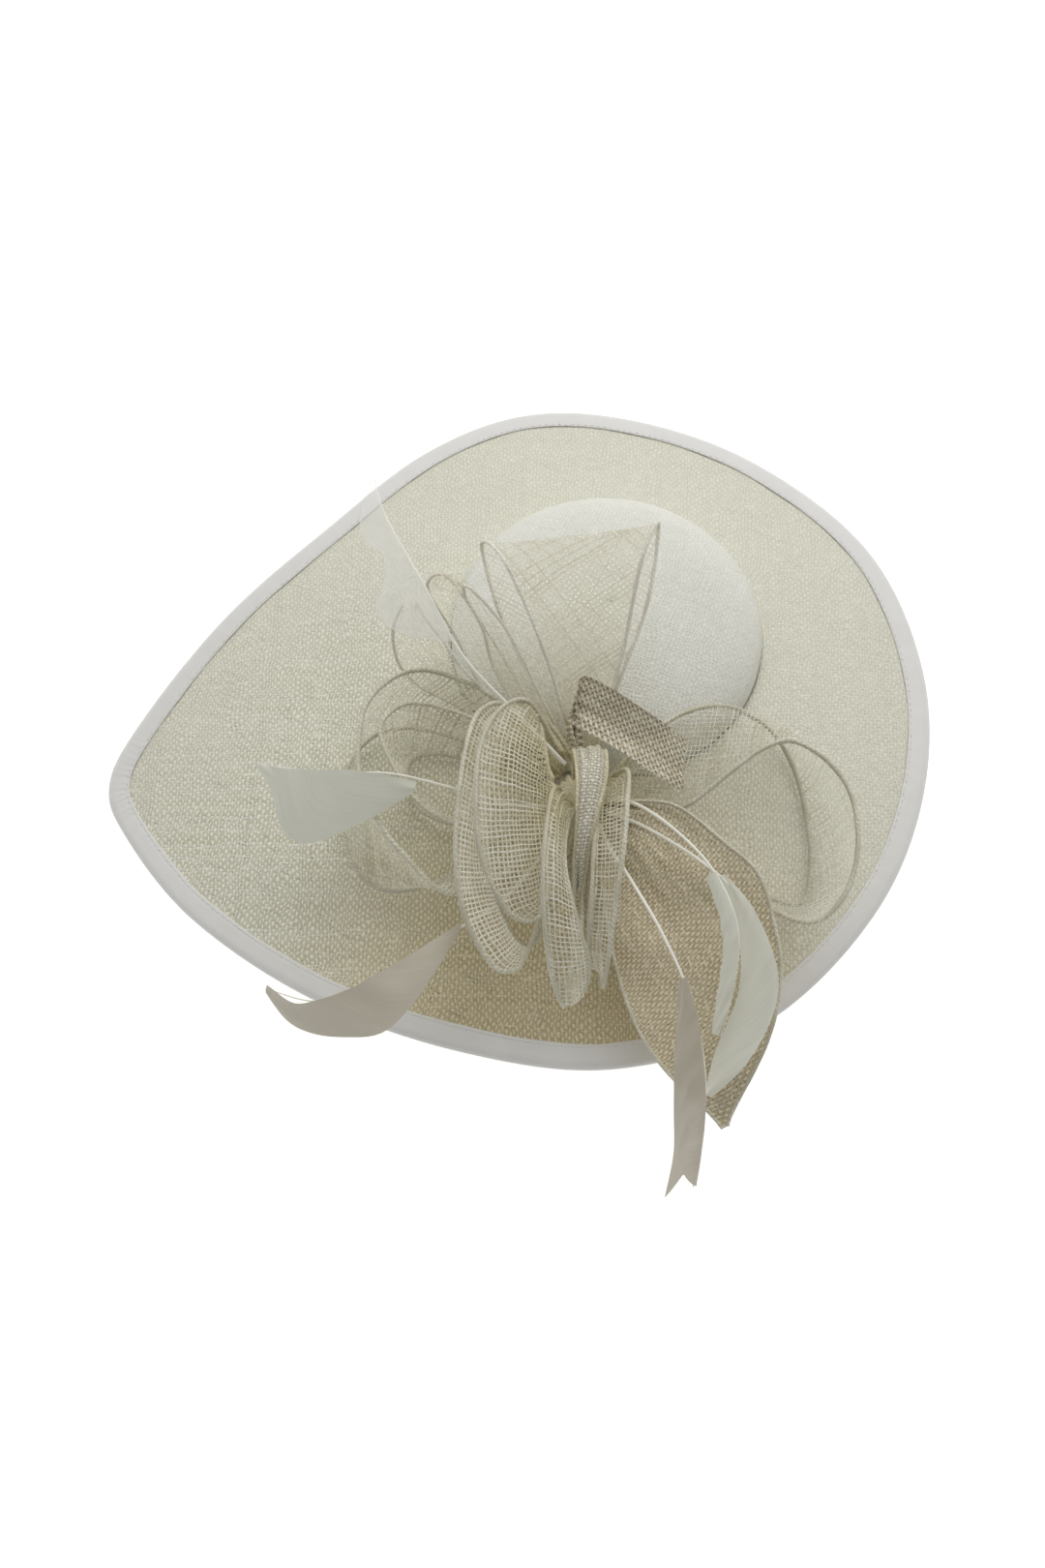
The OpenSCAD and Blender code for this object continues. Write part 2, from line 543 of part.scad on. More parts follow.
module feather6_vane() {
    vane([[35, -130, 59], [41, -145, 57], [43, -158, 54], [42, -170, 50], [38, -180, 45], [33, -191, 40],
          [30, -203, 34]],
         [[38, -129, 62], [47, -142, 63], [54, -158, 59], [56, -170, 53], [52, -183, 47], [43, -196, 41],
          [32, -205, 35]]);
}

brim_top_layer();
brim_under_layer();
edge_wire();
edge_binding();
binding_stitches();
crown_outer();
crown_lining();
headsize_ribbon();
base_disc();
comfort_pad();
band_core();
band_wrap();
band_tip_left();
band_tip_right();
band_tacks();
clip_base();
clip_pin();
clip_spring();
clip_jaw();
trim_base();
centre_knot();
knot_thread();
fan_loop();
crest_petal();
side_petal();
left_loop();
inner_loop();
rose_outer();
rose_cup();
front_loop();
side_loop();
rose_heart();
heart_tab();
right_loop();
leaf();
feather1_quill();
feather1_vane();
feather2_quill();
feather2_vane();
feather3_quill();
feather3_vane();
feather4_quill();
feather4_vane();
feather5_quill();
feather5_vane();
feather6_quill();
feather6_vane();
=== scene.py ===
import bpy
import math
import numpy as np
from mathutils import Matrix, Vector


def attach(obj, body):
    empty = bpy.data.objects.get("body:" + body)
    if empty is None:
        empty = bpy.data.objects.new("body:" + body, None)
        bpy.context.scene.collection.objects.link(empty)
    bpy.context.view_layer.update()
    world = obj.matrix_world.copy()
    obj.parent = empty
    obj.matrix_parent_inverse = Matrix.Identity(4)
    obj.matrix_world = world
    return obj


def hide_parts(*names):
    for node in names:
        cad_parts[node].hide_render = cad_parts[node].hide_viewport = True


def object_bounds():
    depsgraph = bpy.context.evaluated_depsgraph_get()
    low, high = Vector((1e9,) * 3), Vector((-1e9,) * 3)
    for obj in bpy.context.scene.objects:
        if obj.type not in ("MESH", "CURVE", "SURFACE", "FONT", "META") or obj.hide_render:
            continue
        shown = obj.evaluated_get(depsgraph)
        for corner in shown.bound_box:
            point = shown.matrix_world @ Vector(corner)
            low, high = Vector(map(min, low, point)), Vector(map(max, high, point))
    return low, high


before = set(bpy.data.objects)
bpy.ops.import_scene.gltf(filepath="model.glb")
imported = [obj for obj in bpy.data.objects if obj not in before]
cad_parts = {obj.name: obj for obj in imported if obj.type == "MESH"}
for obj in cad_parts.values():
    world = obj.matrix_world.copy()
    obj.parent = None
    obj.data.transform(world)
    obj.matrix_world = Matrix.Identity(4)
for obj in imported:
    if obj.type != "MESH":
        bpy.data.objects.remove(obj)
cad_low, cad_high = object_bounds()

MM = 0.001
TURN = 2 * math.pi
rng = np.random.default_rng(7)
scene = bpy.context.scene


def link(ob):
    scene.collection.objects.link(ob)
    return ob


def aimed(name, data, where, way):
    """A camera or a lamp put in the scene, facing along way."""
    ob = link(bpy.data.objects.new(name, data))
    ob.location = where
    ob.rotation_mode = "QUATERNION"
    ob.rotation_quaternion = way.to_track_quat("-Z", "Y")
    return ob


# -------- camera: lens in mm, distances in metres
ELEVATION = math.radians(65)
DISTANCE = 0.640
TARGET = Vector((-0.036, -0.062, -0.004))
LENS, SENSOR = 34.67, 36
NEAREST, FARTHEST = 0.01, 20
cam_data = bpy.data.cameras.new("camera")
cam_data.lens, cam_data.sensor_width = LENS, SENSOR
cam_data.clip_start, cam_data.clip_end = NEAREST, FARTHEST
back = Vector((0, -math.cos(ELEVATION), math.sin(ELEVATION)))
scene.camera = aimed("camera", cam_data, TARGET + back * DISTANCE, -back)

# -------- the design's dimensions, mm
CROWN_R, CROWN_H, CROWN_ROUND, BRIM_Z = 66.6, 28.0, 2.6, 13.0
FALL, DROOP = 0.12, 0.0004  # the brim's slope by the crown, and how it steepens outwards
LAYER = 0.8
PLY_GAP = 0.1
LOW_PLY = 2 * LAYER + PLY_GAP
BIND_W, BIND_T = 9.0, 0.7
STITCH_LEN, STITCH_GAP, STITCH_R, STITCH_DIP = 1.9, 1.3, 0.22, 0.25
FLANGE = 7.4  # how far the lining runs out under the brim
CLEAR = 0.05  # between pieces that lie on each other
BAND_R, BAND_T, WRAP_W = 68.0, 2.6, 8.6
ARCH_OVER, LEG_LEN, LEG_TILT = math.radians(12), 40.0, math.radians(6)
DISC_TOP, DISC_T, DISC_R = 9.5, 1.1, 70.0
DISC_BOT = DISC_TOP - DISC_T
PAD_X, PAD_Y = 28, 12  # the comfort pad's half length and half width
KNOT = (-14.0, -79.0)
TRIM_Z, TRIM_TURN, TRIM_TILT = 11.6, math.radians(-10.2), math.radians(7.4)
TRIM_T = 1.2  # the felt under the trim
AXIS_R = 0.05  # a turned shape stops this far from its axis
EDGE = np.array([
    [-214, -56], [-205, -80], [-172, -119], [-120, -154], [-60, -176], [0, -183],
    [60, -165], [108, -119], [133, -64], [137, -6], [118, 52], [70, 98],
    [16, 122], [-34, 126], [-80, 105], [-125, 63], [-168, 20], [-202, -28]], float)


# -------- curves
def blend4(a, b, c, d, f):
    return 0.5 * (2 * b + (c - a) * f + (2 * a - 5 * b + 4 * c - d) * f * f
                  + (3 * b - a - 3 * c + d) * f ** 3)


def along(points, t):
    """The point at parameter t, 0 to 1, of the smooth curve through the points."""
    p = np.asarray(points, float)
    n = len(p)
    t = np.atleast_1d(t) * (n - 1)
    i = np.minimum(np.floor(t).astype(int), n - 2)
    f = (t - i)[:, None]
    return blend4(p[np.maximum(i - 1, 0)], p[i], p[i + 1], p[np.minimum(i + 2, n - 1)], f)


def closed(points, n):
    """The smooth closed curve through the points, as n points."""
    p = np.asarray(points, float)
    m = len(p)
    t = np.arange(n) / n * m
    i = np.floor(t).astype(int)
    return blend4(p[(i - 1) % m], p[i % m], p[(i + 1) % m], p[(i + 2) % m], (t - i)[:, None])


def unit(v):
    return v / np.maximum(np.linalg.norm(v, axis=-1, keepdims=True), 1e-12)


def lengths(line):
    """The running length at each point of a polyline."""
    return np.concatenate([[0], np.cumsum(np.linalg.norm(np.diff(line, axis=0), axis=1))])


def sample(line, s, t):
    """The line's values at the running lengths t, where s is its own running length."""
    return np.stack([np.interp(t, s, line[:, k]) for k in range(line.shape[1])], 1)


def even(line, step):
    """The polyline resampled at even steps."""
    s = lengths(line)
    return sample(line, s, np.linspace(0, s[-1], max(int(s[-1] / step), 4) + 1))


def circle(n):
    return np.arange(n) * TURN / n


def boxed(a, power):
    """Cosine and sine pushed out towards a square, for the section of a flat strip."""
    return [np.sign(f(a)) * np.abs(f(a)) ** power for f in (np.cos, np.sin)]


def wavy(shape, seed, low=1.0, high=4.0, terms=5):
    """A smooth field over a grid, about -1 to 1."""
    r = np.random.default_rng(seed)
    u = np.linspace(0, 1, shape[0])[:, None]
    v = np.linspace(0, 1, shape[1])[None, :]
    out = np.zeros(shape)
    for _ in range(terms):
        a, b = r.uniform(low, high), r.uniform(0.3, 2.0)
        out += np.sin(TURN * (a * u + b * v) + r.uniform(0, 6.28)) / terms ** 0.5
    return out * 0.8


# -------- mesh making
def mesh_object(name, verts, faces, mat, uv):
    """A mesh from points in millimetres. uv is one pair per vertex, in metres."""
    me = bpy.data.meshes.new(name)
    me.from_pydata([tuple(v) for v in verts * MM], [], [tuple(int(i) for i in f) for f in faces])
    layer = me.uv_layers.new(name="cloth")
    idx = np.zeros(len(me.loops), np.int32)
    me.loops.foreach_get("vertex_index", idx)
    layer.data.foreach_set("uv", uv[idx].astype(np.float32).ravel())
    me.polygons.foreach_set("use_smooth", [True] * len(me.polygons))
    me.materials.append(mat)
    me.validate()
    return link(bpy.data.objects.new(name, me))


def grid_faces(nu, nv, wrap_u=False, wrap_v=False):
    a, b = np.meshgrid(np.arange(nu - (not wrap_u)), np.arange(nv - (not wrap_v)), indexing="ij")
    a, b = a.ravel(), b.ravel()
    a2, b2 = (a + 1) % nu, (b + 1) % nv
    return np.stack([a * nv + b, a2 * nv + b, a2 * nv + b2, a * nv + b2], 1)


def rings(name, rows, uvs, mat, joined_up=False):
    """One object from rings of points. joined_up also joins the last ring to the first."""
    faces = grid_faces(len(rows), len(rows[0]), wrap_u=joined_up, wrap_v=True)
    return mesh_object(name, np.vstack(rows), faces, mat, np.vstack(uvs))


def normals(g):
    return unit(np.cross(np.gradient(g, axis=0), np.gradient(g, axis=1)))


def cloth(name, g, run, across, mat):
    """An open sheet over a grid of points. run and across are its own lengths along and over it."""
    uv = np.stack(np.broadcast_arrays(run[:, None], across), -1) * MM
    return mesh_object(name, g.reshape(-1, 3), grid_faces(*g.shape[:2]), mat, uv.reshape(-1, 2))


def capped(n, sides):
    """The faces of a tube of n rings, closed at both ends."""
    ends = [tuple(range(sides)), tuple(n * sides - 1 - k for k in range(sides))]
    return [tuple(f) for f in grid_faces(n, sides, wrap_v=True)] + ends


def tube(line, radius, sides=10, lobes=0, pitch=4.0, depth=0.2, phase=0.0):
    """Points, faces and uv of a tube along a line. With lobes it is a twisted rope."""
    n = len(line)
    d = unit(np.gradient(line, axis=0))
    side = np.zeros_like(d)
    s = np.cross(d[0], (0.13, 0.21, 1.0))  # a direction that no line starts along
    s = s / np.linalg.norm(s)
    for i in range(n):  # carried along, so that it never flips
        s = s - d[i] * (s @ d[i])
        s = s / np.linalg.norm(s)
        side[i] = s
    up = np.cross(d, side)
    run = lengths(line)
    ang = circle(sides)
    r = np.broadcast_to(np.asarray(radius, float).reshape(-1, 1), (n, 1)) * np.ones((n, sides))
    if lobes:
        turn = TURN * run[:, None] / pitch + phase + 1.3 * np.sin(run / 5.3 + phase)[:, None]
        turn = turn + 0.7 * np.sin(run / 2.1 + 2 * phase)[:, None]
        r = r * (1 - depth + depth * np.abs(np.cos((ang[None, :] - turn) * lobes / 2)) ** 0.7)
    spoke = side[:, None] * np.cos(ang)[None, :, None] + up[:, None] * np.sin(ang)[None, :, None]
    pts = line[:, None] + r[..., None] * spoke
    uv = np.stack(np.broadcast_arrays(run[:, None] * MM, ang[None, :] * MM), -1)
    return pts.reshape(-1, 3), capped(n, sides), uv.reshape(-1, 2)


def stitch(p, radius):
    """One thread through the points p, thinner towards its ends."""
    return tube(p, radius * np.sin(np.linspace(0.5, math.pi - 0.5, len(p))), 6)


def joined(name, parts, mat):
    """One object from several (points, faces, uv)."""
    verts, faces, uvs, base = [], [], [], 0
    for p, f, uv in parts:
        verts.append(p)
        uvs.append(uv)
        faces += [tuple(int(i) + base for i in q) for q in f]
        base += len(p)
    return mesh_object(name, np.vstack(verts), faces, mat, np.vstack(uvs))


def done(ob, slot, *nodes):
    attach(ob, "hat")
    if nodes:
        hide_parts(*nodes)
    return ob


# -------- materials
def scaled(colour, k):
    return tuple(k * c for c in colour)


def blend(light, deep, p, q):
    return tuple(p * a + q * b for a, b in zip(light, deep))


def rgba(colour):
    """A colour's three numbers with its alpha. A node's output stays as it is."""
    return colour if isinstance(colour, bpy.types.NodeSocket) else (*colour, 1)


class Nodes:
    """Shorthand for the nodes of one tree."""

    def __init__(self, tree):
        self.tree = tree

    def put(self, socket, value):
        if isinstance(value, bpy.types.NodeSocket):
            self.tree.links.new(value, socket)
        elif value is not None:
            socket.default_value = value

    def node(self, kind, inputs=(), **props):
        n = self.tree.nodes.new("ShaderNode" + kind)
        for k, v in props.items():
            setattr(n, k, v)
        for k, v in dict(inputs).items():
            self.put(n.inputs[k], v)
        return n

    def m(self, op, a, b=None, c=None, clamp=False):
        return self.node("Math", {0: a, 1: b, 2: c}, operation=op, use_clamp=clamp).outputs[0]

    def add(self, a, b):
        return self.m("ADD", a, b)

    def sub(self, a, b):
        return self.m("SUBTRACT", a, b)

    def mul(self, a, b):
        return self.m("MULTIPLY", a, b)

    def div(self, a, b, clamp=False):
        return self.m("DIVIDE", a, b, clamp=clamp)

    def fma(self, a, b, c):
        """a times b, plus c."""
        return self.m("MULTIPLY_ADD", a, b, c)

    def vec(self, x, y, z=0):
        return self.node("CombineXYZ", {0: x, 1: y, 2: z}).outputs[0]

    def parts(self, v):
        """The x and y of a vector."""
        n = self.node("SeparateXYZ", {0: v})
        return n.outputs[0], n.outputs[1]

    def uv(self):
        return self.node("UVMap", uv_map="cloth").outputs[0]

    def place(self):
        return self.node("TexCoord").outputs["Object"]

    def noise(self, v, scale, detail=2, rough=0.5):
        inputs = {"Vector": v, "Scale": scale, "Detail": detail, "Roughness": rough}
        return self.node("TexNoise", inputs).outputs[0]

    def turned(self, v, angle):
        inputs = {"Vector": v, "Angle": angle}
        return self.node("VectorRotate", inputs, rotation_type="Z_AXIS").outputs[0]

    def streaks(self, v, scale, detail=1):
        """Noise with a scale of its own along each axis."""
        return self.noise(self.node("Mapping", {"Vector": v, "Scale": scale}).outputs[0], 1, detail)

    def white(self, v):
        return self.node("TexWhiteNoise", {"Vector": v}, noise_dimensions="3D").outputs[0]

    def remap(self, x, a, b, c=0, d=1, kind="LINEAR"):
        inputs = {0: x, 1: a, 2: b, 3: c, 4: d}
        return self.node("MapRange", inputs, interpolation_type=kind, clamp=True).outputs[0]

    def mix(self, f, a, b, how="MIX"):
        inputs = {0: f, 6: rgba(a), 7: rgba(b)}
        return self.node("Mix", inputs, data_type="RGBA", blend_type=how, clamp_factor=True).outputs[2]

    def fade(self, x, a, b, start, end, most=1):
        """The colour start, going over towards end as x goes from a to b."""
        return self.mix(self.remap(x, a, b, 0, most), start, end)

    def near(self, x, y, z, close, far, most):
        """A mask that fades out with distance, in metres, from a point."""
        d = self.node("VectorMath", {0: self.place(), 1: (x, y, z)}, operation="DISTANCE")
        return self.remap(d.outputs["Value"], close, far, most, 0, "SMOOTHSTEP")


class Shader(Nodes):
    """One node material."""

    def __init__(self, name):
        self.mat = bpy.data.materials.new(name)
        self.mat.use_nodes = True
        super().__init__(self.mat.node_tree)
        self.tree.nodes.clear()
        self.out = self.node("OutputMaterial")
        self.bsdf = self.node("BsdfPrincipled")
        self.put(self.out.inputs[0], self.bsdf.outputs[0])

    def bump(self, height, strength, distance):
        n = self.node("Bump", {"Height": height, "Strength": strength, "Distance": distance})
        self.put(self.bsdf.inputs["Normal"], n.outputs[0])

    def base(self, colour, rough, **fixed):
        self.put(self.bsdf.inputs["Base Color"], rgba(colour))
        self.put(self.bsdf.inputs["Roughness"], rough)
        for k, v in fixed.items():
            self.bsdf.inputs[k.replace("_", " ")].default_value = v

    def see_through(self, solid, glow, tint):
        """Mixes in clear gaps where solid is 0, and a little light from behind."""
        lit = self.node("BsdfTranslucent", {0: (*tint, 1)}).outputs[0]
        cloth = self.node("MixShader", {0: glow, 1: self.bsdf.outputs[0], 2: lit}).outputs[0]
        clear = self.node("BsdfTransparent").outputs[0]
        self.put(self.out.inputs[0], self.node("MixShader", {0: solid, 1: clear, 2: cloth}).outputs[0])


def strands(s, p, q, size, seed, weft):
    """The threads that lie side by side across p: their numbers, a tone for each, and their height."""
    number = s.m("FLOOR", p)
    off = s.m("ABSOLUTE", s.sub(s.m("FRACT", p), 0.5))
    tone = s.white(s.vec(number, seed, 1 + weft))
    at = (s.mul(number, 3.17), s.mul(q, 0.12))
    swell = s.noise(s.vec(*(at[::-1] if weft else at), seed + 9 * weft), 1, 1)
    half = s.mul(s.add(s.fma(tone, 0.6, 0.4), s.mul(swell, 0.6)), size / 2)
    return number, tone, s.sub(1, s.m("POWER", s.div(off, half, clamp=True), 2))


def net(s, v, pitch, warp, weft, wobble, seed, angle):
    """A plain weave over v, in metres: its height, the warp's share of it, and a tone for each thread."""
    if angle:
        v = s.turned(v, angle)
    x, y = s.parts(v)
    drifts = s.noise(v, 70, 2), s.noise(s.vec(y, x, 3.7), 70, 2)
    x, y = [s.div(s.fma(s.sub(d, 0.5), wobble * 0.006, k), pitch) for d, k in zip(drifts, (x, y))]
    ix, rx, hx = strands(s, x, y, warp, seed, 0)
    iy, ry, hy = strands(s, y, x, weft, seed, 1)
    over = s.m("GREATER_THAN", s.m("FRACT", s.mul(s.add(ix, iy), 0.5)), 0.25)
    a = s.mul(hx, s.fma(over, 0.55, 0.45))
    b = s.mul(hy, s.fma(over, -0.4, 0.85))
    on_top = s.m("GREATER_THAN", a, b)
    tone = s.add(s.mul(on_top, rx), s.mul(s.sub(1, on_top), ry))
    return s.m("MAXIMUM", a, b), s.mul(a, on_top), tone


KNOT_M = (-0.017, -0.08, 0.03)  # where every loop is drawn in, in metres
SHADY_SIDE = (-0.075, -0.135, 0)
GLINT = (700, 160, 1)


def open_net(name, light, deep, pitch, warp, weft, wobble, seed, angle, glow=0.45):
    """Stiffened net with real gaps. Most strands are pale and a few are dark: a random tone for each strand,
    with broad patches of painted shade.
    """
    s = Shader(name)
    v = s.uv()
    height, _, tone = net(s, v, pitch, warp, weft, wobble, seed, angle)
    # a random tone for each strand, and broad noise patches of painted shade
    tone_and_shade = s.add(tone, s.fma(s.noise(v, 55, 2), 0.9, -0.45))
    thread = s.fade(tone_and_shade, 0.45, 0.95, light, deep)
    thread = s.fade(s.streaks(v, GLINT), 0.56, 0.72, thread, (1, 1, 0.97), 0.8)
    # each strand's sides are painted darker, as shade
    colour = s.fade(height, 0.05, 0.55, blend(light, deep, 0.25, 0.6), thread)
    # darker and more golden near the knot: the denser gathered net, with painted warm shade in its deep folds
    colour = s.mix(s.near(*KNOT_M, 0.012, 0.06, 0.85), colour, (1, 0.93, 0.66), "MULTIPLY")
    s.base(colour, 0.42, Specular_IOR_Level=0.6)
    s.bump(height, 0.7, 0.0004)
    s.see_through(s.remap(height, 0.02, 0.14), glow, (0.97, 0.94, 0.8))
    return s.mat


def close_net(name, light, deep, pitch, warp, weft, wobble, seed, angle=0.06, shade=0.5, warm_shade=None, calm=0,
              ply=0.9):
    """Doubled net: a second ply shows in the gaps, painted darker as lying in shade. Where given, the warm
    patch is a round patch painted darker and warmer, as warm shade, and calm evens out the weave's contrast
    away from the shady side."""
    s = Shader(name)
    v = s.uv()
    height, warps, tone = net(s, v, pitch, warp, weft, wobble, seed, angle)
    mid, dark = blend(light, deep, 0.5, 0.5), scaled(deep, shade)
    body = s.fade(tone, 0.1, 0.9, mid, deep)
    body = s.fade(s.noise(v, 14, 3), 0.35, 0.65, body, mid, 0.5)
    # where the warp lies on top it is painted lighter, as a highlight on the raised float
    thread = s.fade(warps, 0.45, 0.95, body, light)
    thread = s.fade(s.streaks(v, GLINT), 0.62, 0.78, thread, (0.97, 0.97, 0.93), 0.5)
    h2, _, _ = net(s, v, pitch * 1.05, 0.95, 0.9, wobble, seed + 40, angle + 0.5)
    # the gaps show the second ply, painted darker as it lies in shade under the first: ply sets how light its
    # threads are, shade how dark the gaps between them
    colour = s.fade(height, 0, 0.5, s.fade(h2, 0, 0.9, dark, scaled(mid, ply)), thread)
    slub = s.streaks(s.turned(v, 0.42), (60, 900, 1))
    colour = s.fade(slub, 0.6, 0.75, colour, dark, 0.25)
    shine = s.streaks(v, (110, 800, 1))
    colour = s.fade(shine, 0.6, 0.72, colour, tuple(min(1, 1.07 * c) for c in light), 0.55)
    if calm:
        away = s.fma(s.near(*SHADY_SIDE, 0.06, 0.22, 1), -calm, calm)
        colour = s.mix(away, colour, blend(light, deep, 0.66, 0.27))
    # a round patch painted darker and warmer, as warm shade
    if warm_shade:
        colour = s.mix(s.near(*warm_shade), colour, (0.9, 0.8, 0.62), "MULTIPLY")
    crease = s.noise(v, 260, 3, 0.6)  # the small unevenness of hand blocking
    # the hollows of the creases are painted darker, as shade
    colour = s.fade(crease, 0.62, 0.4, colour, scaled(mid, 0.7), 0.14)
    s.base(colour, 0.5, Specular_IOR_Level=0.4)
    s.bump(s.fma(crease, 2.5, s.fma(h2, 0.25, height)), 0.42, 0.0004)
    return s.mat


# the brim is painted darker and warmer in front of the trim, as the shade under it
mat_brim = close_net("brim_net", (0.92, 0.91, 0.8), (0.57, 0.54, 0.38), 0.0015, 0.94, 0.8, 1.1, 3,
    shade=0.22, warm_shade=(-0.025, -0.165, 0, 0.03, 0.13, 1), calm=0.6)
mat_under = close_net("under_net", (0.76, 0.74, 0.63), (0.6, 0.57, 0.44), 0.0015, 1, 0.8, 0.5, 13, 0.8)
# the crown's net is a little darker than the brim's: painted shade that tones down the extra light on its
# dome
mat_crown = close_net("crown_net", (0.885, 0.885, 0.825), (0.68, 0.665, 0.56), 0.0015, 0.96, 0.86, 1.1, 5,
    0.3, calm=0.6)
mat_grid = open_net("loop_net_straight", (1, 0.99, 0.9), (0.4, 0.35, 0.2), 0.0018, 0.46, 0.38, 0.35, 21, 0.05)
mat_bias = open_net("loop_net_bias", (1, 0.985, 0.9), (0.3, 0.26, 0.15), 0.0019, 0.35, 0.29, 0.2, 27, 0.62)
mat_right = open_net("loop_net_fine", (1, 0.99, 0.92), (0.44, 0.4, 0.27), 0.0018, 0.3, 0.25, 0.2, 47, 0.5)
mat_fan = open_net("fan_net", (1, 1, 0.96), (0.36, 0.33, 0.25), 0.0018, 0.33, 0.28, 0.12, 29, 0.55, 0.62)
mat_petal = open_net("petal_net", (1, 1, 0.95), (0.34, 0.31, 0.22), 0.0017, 0.32, 0.26, 0.1, 31, 0, 0.62)
mat_tab = close_net("tab_net", (0.96, 0.9, 0.73), (0.56, 0.48, 0.31), 0.0018, 0.58, 0.52, 0.1, 41, 0.72,
    shade=0.26, ply=0.42)
mat_heart = close_net("heart_net", (0.92, 0.89, 0.76), (0.46, 0.42, 0.3), 0.0013, 0.66, 0.52, 0.4, 43, 0.1,
    shade=0.4, ply=0.6)
# part of the leaf is painted darker and warmer, as warm shade
mat_leaf = close_net("leaf_net", (0.86, 0.81, 0.66), (0.4, 0.34, 0.21), 0.0015, 0.66, 0.56, 0.4, 37, 0.3,
    shade=0.55, warm_shade=(0.02, -0.16, 0.03, 0.02, 0.12, 0.5))
mat_knot = close_net("knot_net", (0.98, 0.94, 0.76), (0.86, 0.78, 0.5), 0.0011, 0.95, 0.7, 0.9, 33, 0.1)


def satin(name, colour, across, rough, sheen=0.3, on_object=False):
    """Finely ribbed cloth. across is the distance between ribs, in metres."""
    s = Shader(name)
    v = s.place() if on_object else s.uv()
    x, y = s.parts(v)
    cloud = s.noise(v, 90, 3)
    rib = s.m("SINE", s.mul(s.add(x, s.mul(y, 0.6)), TURN / across))
    fine = s.streaks(v, (300, 2500, 800), 2)
    tone = s.fade(cloud, 0.3, 0.7, colour, scaled(colour, 0.93), 0.5)
    tone = s.fade(rib, -1, 1, tone, scaled(colour, 0.75), 0.14)
    s.base(tone, s.remap(fine, 0.3, 0.7, rough - 0.07, rough + 0.1), Sheen_Weight=sheen, Sheen_Roughness=0.4,
           Specular_IOR_Level=0.5)
    s.bump(s.fma(rib, 0.3, s.fma(fine, 0.5, s.mul(cloud, 1.2))), 0.3, 0.0002)
    return s.mat


def rope(name, light, deep, pitch=0.0021):
    """A tightly rolled net edge: fine slanting strands, thick and thin, with olive stretches."""
    s = Shader(name)
    x, y = s.parts(s.uv())
    turn = s.mul(y, 1000)
    drift = s.mul(s.noise(s.vec(x, 0), 80, 2), 6)
    a = s.m("SINE", s.add(s.fma(x, TURN / pitch, drift), s.mul(turn, 2)))
    b = s.m("SINE", s.sub(s.mul(x, TURN / (pitch * 0.71)), s.mul(turn, 3)))
    n = s.noise(s.vec(s.mul(x, 0.4), s.mul(y, 1.2)), 900, 3)
    h = s.add(s.fma(a, 0.16, 0.35), s.fma(b, 0.1, s.mul(n, 1.1)))
    c = s.fade(h, 0.4, 1.3, deep, light)
    c = s.fade(s.noise(s.place(), 60, 2), 0.42, 0.6, c, blend(light, deep, 0.35, 0.6), 0.75)
    # darker and more golden near the knot: the denser gathered net, with painted warm shade in its deep folds
    c = s.mix(s.near(*KNOT_M, 0.012, 0.05, 0.6), c, (1, 0.92, 0.66), "MULTIPLY")
    s.base(c, 0.5, Specular_IOR_Level=0.45)
    s.bump(h, 0.6, 0.0003)
    return s.mat


def threads(name, colour, pitch=0.00035):
    s = Shader(name)
    x, y = s.parts(s.uv())
    a = s.m("SINE", s.add(s.mul(x, TURN / pitch), s.mul(y, 2000)))
    s.base(s.fade(a, -1, 1, colour, scaled(colour, 0.72), 0.5), 0.45, Sheen_Weight=0.2)
    s.bump(a, 0.4, 0.0001)
    return s.mat


def felt(name, colour):
    s = Shader(name)
    v = s.place()
    fuzz = s.noise(v, 1400, 4, 0.7)
    soft = s.noise(v, 160, 3)
    c = s.fade(fuzz, 0.35, 0.7, scaled(colour, 0.8), colour)
    c = s.fade(soft, 0.4, 0.7, c, scaled(colour, 0.85), 0.3)
    s.base(c, 0.92, Sheen_Weight=0.5, Sheen_Roughness=0.6, Specular_IOR_Level=0.2)
    s.bump(s.fma(soft, 1.5, fuzz), 0.6, 0.0004)
    return s.mat


def metal(name, colour, rough, line_scale=(40, 2500, 2500)):
    """Metal with fine lines, which run along the axis with the smallest scale."""
    s = Shader(name)
    v = s.place()
    lines = s.streaks(v, line_scale, 3)
    worn = s.noise(v, 260, 4)
    s.base(s.fade(worn, 0.45, 0.75, colour, scaled(colour, 0.7), 0.35),
           s.remap(lines, 0.3, 0.7, rough - 0.08, rough + 0.12), Metallic=1)
    s.bump(s.fma(worn, 0.5, lines), 0.15, 0.0001)
    return s.mat


def barbs(name, colour, solid=(0.6, 0.97), glow=0.3):
    """Barbs running slantwise out of the quill, with hairline splits. solid is the least and the most
    that they cover."""
    s = Shader(name)
    x, y = s.parts(s.uv())
    slant = s.add(s.mul(x, 0.8), s.mul(y, 1.1))
    slant = s.add(slant, s.mul(s.noise(s.vec(x, y), 120, 2), 0.0012))
    line = s.m("SINE", s.mul(slant, TURN / 0.0005))
    coarse = s.noise(s.vec(s.mul(slant, 900), s.mul(y, 40)), 1, 3)
    c = s.fade(coarse, 0.35, 0.7, colour, scaled(colour, 0.86), 0.6)
    c = s.fade(line, -1, 1, c, scaled(colour, 0.7), 0.2)
    s.base(c, 0.5, Sheen_Weight=0.25, Sheen_Roughness=0.5, Specular_IOR_Level=0.4)
    s.bump(s.fma(coarse, 1.4, s.mul(line, 0.35)), 0.35, 0.0002)
    s.see_through(s.remap(coarse, 0.08, 0.34, *solid), glow, colour)
    return s.mat


